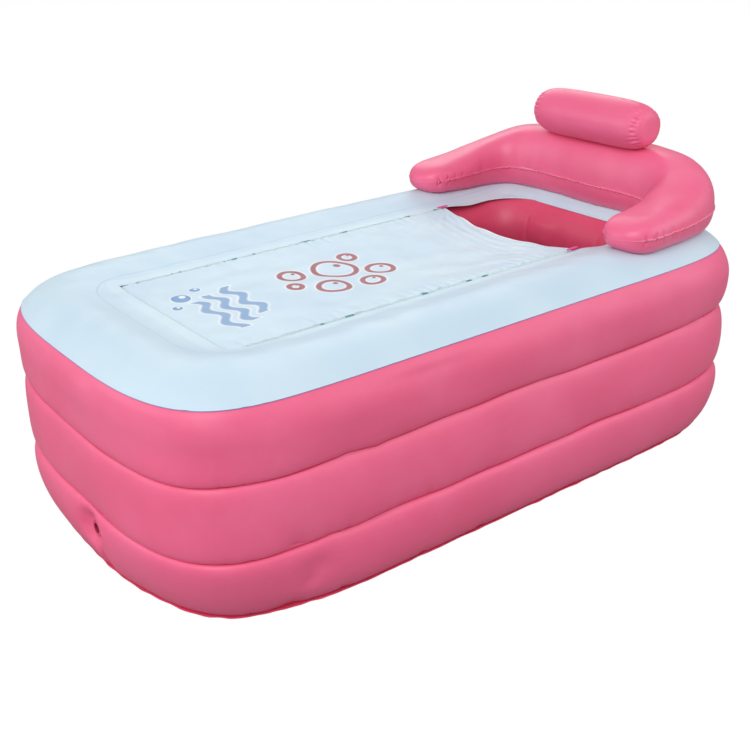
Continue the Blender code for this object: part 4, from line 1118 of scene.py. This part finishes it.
def make_pillow():
    """Bolster with end discs drawn in by a ring of puckers."""
    rows, sides = PILLOW_ROWS, PILLOW_SIDES
    cx, cy, cz = PILLOW_CENTRE
    along = -np.cos(math.pi * np.arange(rows) / (rows - 1))[:, None] * 0.9985
    radius = pillow_radius(np.abs(along))
    turn = 2 * np.pi * np.arange(sides)[None, :] / sides
    push = 0
    uneven = np.random.RandomState(51)
    for turns_round in (1, 2, 3, 3, 5):
        phase, swing = 2 * np.pi * uneven.rand(), 6 * (uneven.rand() - 0.5)
        push = push + 0.0004 * np.cos(turns_round * turn + swing * along + phase)
    whole = 2 * math.pi * PILLOW_RADIUS
    for end, seed in ((1, 52), (-1, 53)):
        rng = np.random.RandomState(seed)
        away = np.abs(along * PILLOW_LENGTH / 2 - end * (PILLOW_LENGTH / 2 - PILLOW_WELD_IN))
        uneven_steps = np.arange(PILLOW_PUCKER_COUNT) + 0.5 + 0.35 * (rng.rand(PILLOW_PUCKER_COUNT) - 0.5)
        places = uneven_steps / PILLOW_PUCKER_COUNT * whole
        push += uneven_puckers(rng, turn * PILLOW_RADIUS, away, places, *PILLOW_PUCKERS)
        push -= PILLOW_WELD_DENT[0] * bell(away, PILLOW_WELD_DENT[1])
    r = radius + push * smooth(0.3, 0.8, radius / PILLOW_RADIUS)
    y = cy + along * PILLOW_LENGTH / 2 + 0 * turn
    grid = np.stack([cx + r * np.cos(turn), y, cz + r * np.sin(turn)], 2)
    made = capped_tube("head_pillow_skin", grid, PVC_CUSHION, "pillow")
    stand_in(made, "head_pillow")


def make_floor_cushion():
    """Air mattress on the tub's floor, with welded channels along it."""
    v = np.linspace(-1, 1, FLOOR_COLUMNS)[None, :]
    u = ((1 - np.cos(np.pi * np.arange(FLOOR_ROWS) / (FLOOR_ROWS - 1))) / 2)[:, None]
    y = (SIDE_Y - FLOOR_INSET) * FLOOR_WIDTH_SHARE * v
    across = np.minimum(np.abs(y) / (SIDE_Y - FLOOR_INSET), 1)
    foot, head = ((HEAD_X - FLOOR_INSET) * (1 - across ** side) ** (1 / end)
                  for end, side in (FOOT_POWERS, HEAD_POWERS))
    x = -foot + (foot + head) * u
    channel = np.abs(np.sin(math.pi * CHANNELS * (v + 1) / 2)) ** 0.6
    inside = (1 - np.abs(v) ** 10) * (1 - np.abs(2 * u - 1) ** 14)
    z = FLOOR_EDGE + (FLOOR_TOP - CHANNEL_DEPTH * (1 - channel) - FLOOR_EDGE) * inside
    z = z + 0.0006 * waves(x, y, 0.03, 0.12, 10, 61) * channel
    z = z + 0.0006 * waves(x, None, 0.012, 0.03, 6, 62) * (1 - channel) * inside
    points = [np.stack(np.broadcast_arrays(x, y, height), 2).reshape(-1, 3) for height in (z, RING_LOW)]
    faces = sheet_faces(FLOOR_ROWS, FLOOR_COLUMNS)
    points, faces = seated(np.concatenate(points), faces, [valve_seat("floor")])
    made = mesh_object("floor_cushion_skin", points, faces, PVC_INNER)
    stand_in(made, "floor_cushion")


def make_base():
    """Floor sheet with its welded flange waving a little outside the lowest ring."""
    outer = smooth(0.021, 0.0135, BASE_INSETS)
    ripple = waves(AROUND, None, 0.03, 0.12, 10, 71)[:, None]
    inset = BASE_INSETS - outer * (0.0010 + 0.0007 * waves(AROUND, None, 0.05, 0.2, 8, 72)[:, None])
    inset = inset + FOOT_CORNER[:, None] * BASE_DRAW * smooth(0.12, 0.03, BASE_INSETS)
    x, y = outline(TURNS[:, None], inset)
    z = BASE_TOP + outer * BASE_RIPPLE * (2.0 + ripple)
    made = sheet_mesh("base_sheet_skin", np.stack([x, y, z], 2), BASE_THICKNESS, PVC_INNER, True)
    stand_in(made, "base_sheet")


# Valves and stoppers

def turned(name, profile, material, matrix, closed, sides=48):
    """Profile of (radius, height) points turned about local Z."""
    turn = 2 * np.pi * np.arange(sides) / sides
    profile = np.array(profile, float)
    radius, height = profile[:, :1], profile[:, 1:]
    grid = np.stack([radius * np.cos(turn), radius * np.sin(turn), height + 0 * turn], 2)
    made = mesh_object(name, grid.reshape(-1, 3), grid_faces(len(profile), sides, closed, True), material)
    made.matrix_world = matrix
    return made


def rounded(profile, radius, closed, steps=4):
    """Profile with its corners rounded."""
    count = len(profile)
    points = [np.array(p, float) for p in profile]
    out = []
    for i, corner in enumerate(points):
        if not closed and i in (0, count - 1):
            out.append(corner)
            continue
        before, after = points[i - 1] - corner, points[(i + 1) % count] - corner
        reach = min(radius, np.linalg.norm(before) * 0.45, np.linalg.norm(after) * 0.45)
        start = corner + before / np.linalg.norm(before) * reach
        end = corner + after / np.linalg.norm(after) * reach
        for k in range(steps + 1):
            t = k / steps
            out.append(start * (1 - t) ** 2 + corner * 2 * t * (1 - t) + end * t * t)
    return out


def sharpen(made):
    made.data.set_sharp_from_angle(angle=math.radians(40))


def nozzle_and_stopper(stem, matrix, share, drain=False):
    sizes = (v * share for v in (DRAIN_SIZES if drain else VALVE_SIZES))
    bore, neck, flange, plate, stub, head, nub, strap = sizes
    top = plate + stub
    if drain:
        deep = DRAIN_MOUTH_X - DRAIN_PLACE[0]
        foot = [(bore, deep), (DRAIN_LIP, deep), (DRAIN_LIP, deep + plate), (neck, deep + plate)]
    else:
        foot = [(bore, -VALVE_DEPTH * share), (neck, -VALVE_DEPTH * share)]
    profile = [*foot, (neck, 0), (flange, 0), (flange, plate), (neck, plate), (neck, top), (bore, top)]
    node = "drain_tube" if drain else f"{stem}_valve"
    paint = PVC_INNER if drain else SOFT_CLEAR
    nozzle = turned(f"{node}_moulding", rounded(profile, BORE_SHOULDER, True), paint, matrix, True)
    sharpen(nozzle)
    # Painted shade: the bore's inner faces are painted near black
    if drain:
        paint_faces(nozzle, PVC_BORE_SHADE, [math.hypot(*face.center[:2]) < bore + BORE_SHOULDER
                                       for face in nozzle.data.polygons])
    stand_in(nozzle, node)
    low = top + GAP
    rim = strap * 1.8
    plug = bore * 0.9 - 2 * GAP
    profile = [(0.0, low - nub), (plug * 0.75, low - nub), (plug, low - nub + plug * 0.25),
               (plug, low - PLUG_FILLET), (plug, low), (head, low), (head, low + rim * 0.6),
               (head - rim * 0.5, low + rim), (head * 0.55, low + rim), (head * 0.5, low + rim * 0.75),
               (0.0, low + rim * 0.75)]
    made = turned(f"{stem}_stopper_cap", rounded(profile, CAP_ROUNDING, False), SOFT_CLEAR, matrix, False)
    knuckle = strap * 0.9
    reach, height = head + strap * 4.5, plate + GAP + knuckle
    line = [(head * 0.8, low + rim * 0.45), (head + strap, low + rim * 0.45),
            (reach - knuckle * 0.2, height + strap), (reach, height)]
    line = np.array(rounded(line, strap * 2, False, 6))
    strap_mesh(f"{stem}_stopper_strap", line, head * 0.5, strap * 0.42, made, matrix)
    stand_in(made, f"{stem}_stopper", f"{stem}_stopper_body")


def strap_mesh(name, line, half, thick, owner, matrix, sides=20):
    """Rounded flat strap along a line of (x, z) points, joined to its stopper."""
    tangent = unit(np.gradient(line, axis=0))
    turn = 2 * np.pi * np.arange(sides) / sides
    side = half * signed_power(np.cos(turn), 0.35)
    rise = thick * signed_power(np.sin(turn), 0.6)
    x, z = line[:, :1], line[:, 1:]
    grid = np.stack([x - tangent[:, 1:] * rise, side + 0 * x, z + tangent[:, :1] * rise], 2)
    ends = [grid[k:k + 1 or None].mean(1, keepdims=True).repeat(sides, 1) for k in (0, -1)]
    grid = np.concatenate([ends[0], grid, ends[1]])
    strap = mesh_object(name, grid.reshape(-1, 3), grid_faces(len(grid), sides, False, True), SOFT_CLEAR)
    strap.matrix_world = matrix
    bpy.context.view_layer.update()
    chosen = {"active_object": owner, "object": owner, "selected_editable_objects": [owner, strap]}
    with bpy.context.temp_override(**chosen):
        bpy.ops.object.join()
    sharpen(owner)


# The frame's own pieces that stay

def dress_cad():
    """Paint the tapes, sliders and pulls, and round the edges of the small castings."""
    paints = {"zip_tape": TAPE, "zip_slider": CAST, "zip_pull": TAB}
    for name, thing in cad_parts.items():
        stem = next((stem for stem in paints if name.startswith(stem)), None)
        if stem is None:
            continue
        thing.data.materials.clear()
        thing.data.materials.append(paints[stem])
        if stem != "zip_tape":
            thing.modifiers.new("weld", "WELD").merge_threshold = MERGE
            bevel = thing.modifiers.new("bevel", "BEVEL")
            bevel.width = CASTING_EDGE
            bevel.segments = 3
            bevel.limit_method = "ANGLE"
            bevel.angle_limit = math.radians(35)


# Studio and camera

def add_light(name, place, target, size, power):
    data = bpy.data.lights.new(name, "AREA")
    data.shape = "RECTANGLE"
    data.size, data.size_y = size
    data.energy = power
    lamp = bpy.data.objects.new(name, data)
    bpy.context.scene.collection.objects.link(lamp)
    lamp.location = place
    lamp.rotation_euler = (Vector(target) - Vector(place)).to_track_quat("-Z", "Y").to_euler()


def make_world():
    """Pale dome, a little brighter above, and white where the camera sees it."""
    world = bpy.data.worlds.new("studio")
    bpy.context.scene.world = world
    world.use_nodes = True
    nodes = Nodes(world.node_tree)
    background = nodes.tree.nodes["Background"]
    background.inputs["Color"].default_value = (1, 1, 1, 1)
    rays = nodes.node("LightPath").outputs
    seen = nodes.math("MAXIMUM", rays["Is Camera Ray"], rays["Is Transmission Ray"])
    up = nodes.parts(nodes.node("TexCoord").outputs["Generated"])[2]
    height = nodes.node("MapRange", {"Value": up, "To Min": WORLD_LOW, "To Max": WORLD_HIGH})
    level = nodes.node("MapRange", {"Value": seen, "To Min": height.outputs[0], "To Max": 1.0})
    nodes.tree.links.new(level.outputs[0], background.inputs["Strength"])


def make_studio():
    corners = [(x * FLOOR_HALF, y * FLOOR_HALF, -FLOOR_DROP) for x, y in ((-1, -1), (1, -1), (1, 1), (-1, 1))]
    mesh_object("studio_floor", corners, [(0, 1, 2, 3)], floor_paint())
    make_world()
    add_light("key", (-4.8, -3.2, 4.8), (0, 0, 0.25), (5.0, 5.0), 300)
    add_light("side", (3.6, -4.2, 2.5), (0.2, 0, 0.3), (4.0, 4.0), 100)
    add_light("back", (3.9, 5.4, 4.4), (0.2, 0, 0.3), (5.0, 4.0), 135)
    add_light("fill", (-4.6, 2.6, 1.8), (-0.6, 0, 0.25), (3.5, 2.5), 58)


def floor_paint():
    """Grey floor that glows pale where the camera sees it."""
    paint = Paint("studio_floor", 0.9)
    where = paint.place(False)
    cloudy = paint.band(paint.noise(where, 3.0), 0.3, 0.7)
    paint.finish(paint.mix(cloudy, (FLOOR_GREY,) * 3, (FLOOR_GREY * 1.05,) * 3))
    rays = paint.node("LightPath")
    glow = paint.node("Emission", {"Color": (1, 1, 1, 1), "Strength": FLOOR_GLOW})
    seen = paint.math("MULTIPLY", rays.outputs["Is Camera Ray"], FLOOR_GLOW_SHARE)
    blend = paint.node("MixShader", {"Fac": seen})
    paint.tree.links.new(paint.shader.outputs[0], blend.inputs[1])
    paint.tree.links.new(glow.outputs[0], blend.inputs[2])
    paint.tree.links.new(blend.outputs[0], paint.tree.nodes["Material Output"].inputs["Surface"])
    return paint.made


def make_camera():
    data = bpy.data.cameras.new("photo_camera")
    data.sensor_width = SENSOR
    data.lens = FOCAL_PIXELS / IMAGE_PIXELS * SENSOR
    camera = bpy.data.objects.new("photo_camera", data)
    bpy.context.scene.collection.objects.link(camera)
    a, e, r = CAMERA_AZIMUTH, CAMERA_ELEVATION, CAMERA_ROLL
    back = Vector((math.sin(a) * math.cos(e), -math.cos(a) * math.cos(e), math.sin(e)))
    right = Vector((0, 0, 1)).cross(back).normalized()
    above = back.cross(right)
    rolled = right * math.cos(r) + above * math.sin(r)
    lifted = above * math.cos(r) - right * math.sin(r)
    matrix = Matrix((rolled, lifted, back)).transposed().to_4x4()
    matrix.translation = Vector(CAMERA_PLACE)
    camera.matrix_world = matrix
    bpy.context.scene.camera = camera


def build():
    bpy.context.scene.view_settings.view_transform = "Standard"
    make_camera()
    make_studio()
    make_rings()
    make_deck()
    make_flap()
    for side_name, side in (("left", -1), ("right", 1)):
        for owner in ("deck", "flap"):
            make_coil(owner, side_name, side)
    make_backrest()
    make_pillow()
    make_floor_cushion()
    make_base()
    for stem, (place, outward, side, share) in VALVES.items():
        nozzle_and_stopper(stem, placed(place, outward, side), share)
    nozzle_and_stopper("drain", placed(DRAIN_PLACE, (1, 0, 0), UP), 1.0, drain=True)
    dress_cad()


build()
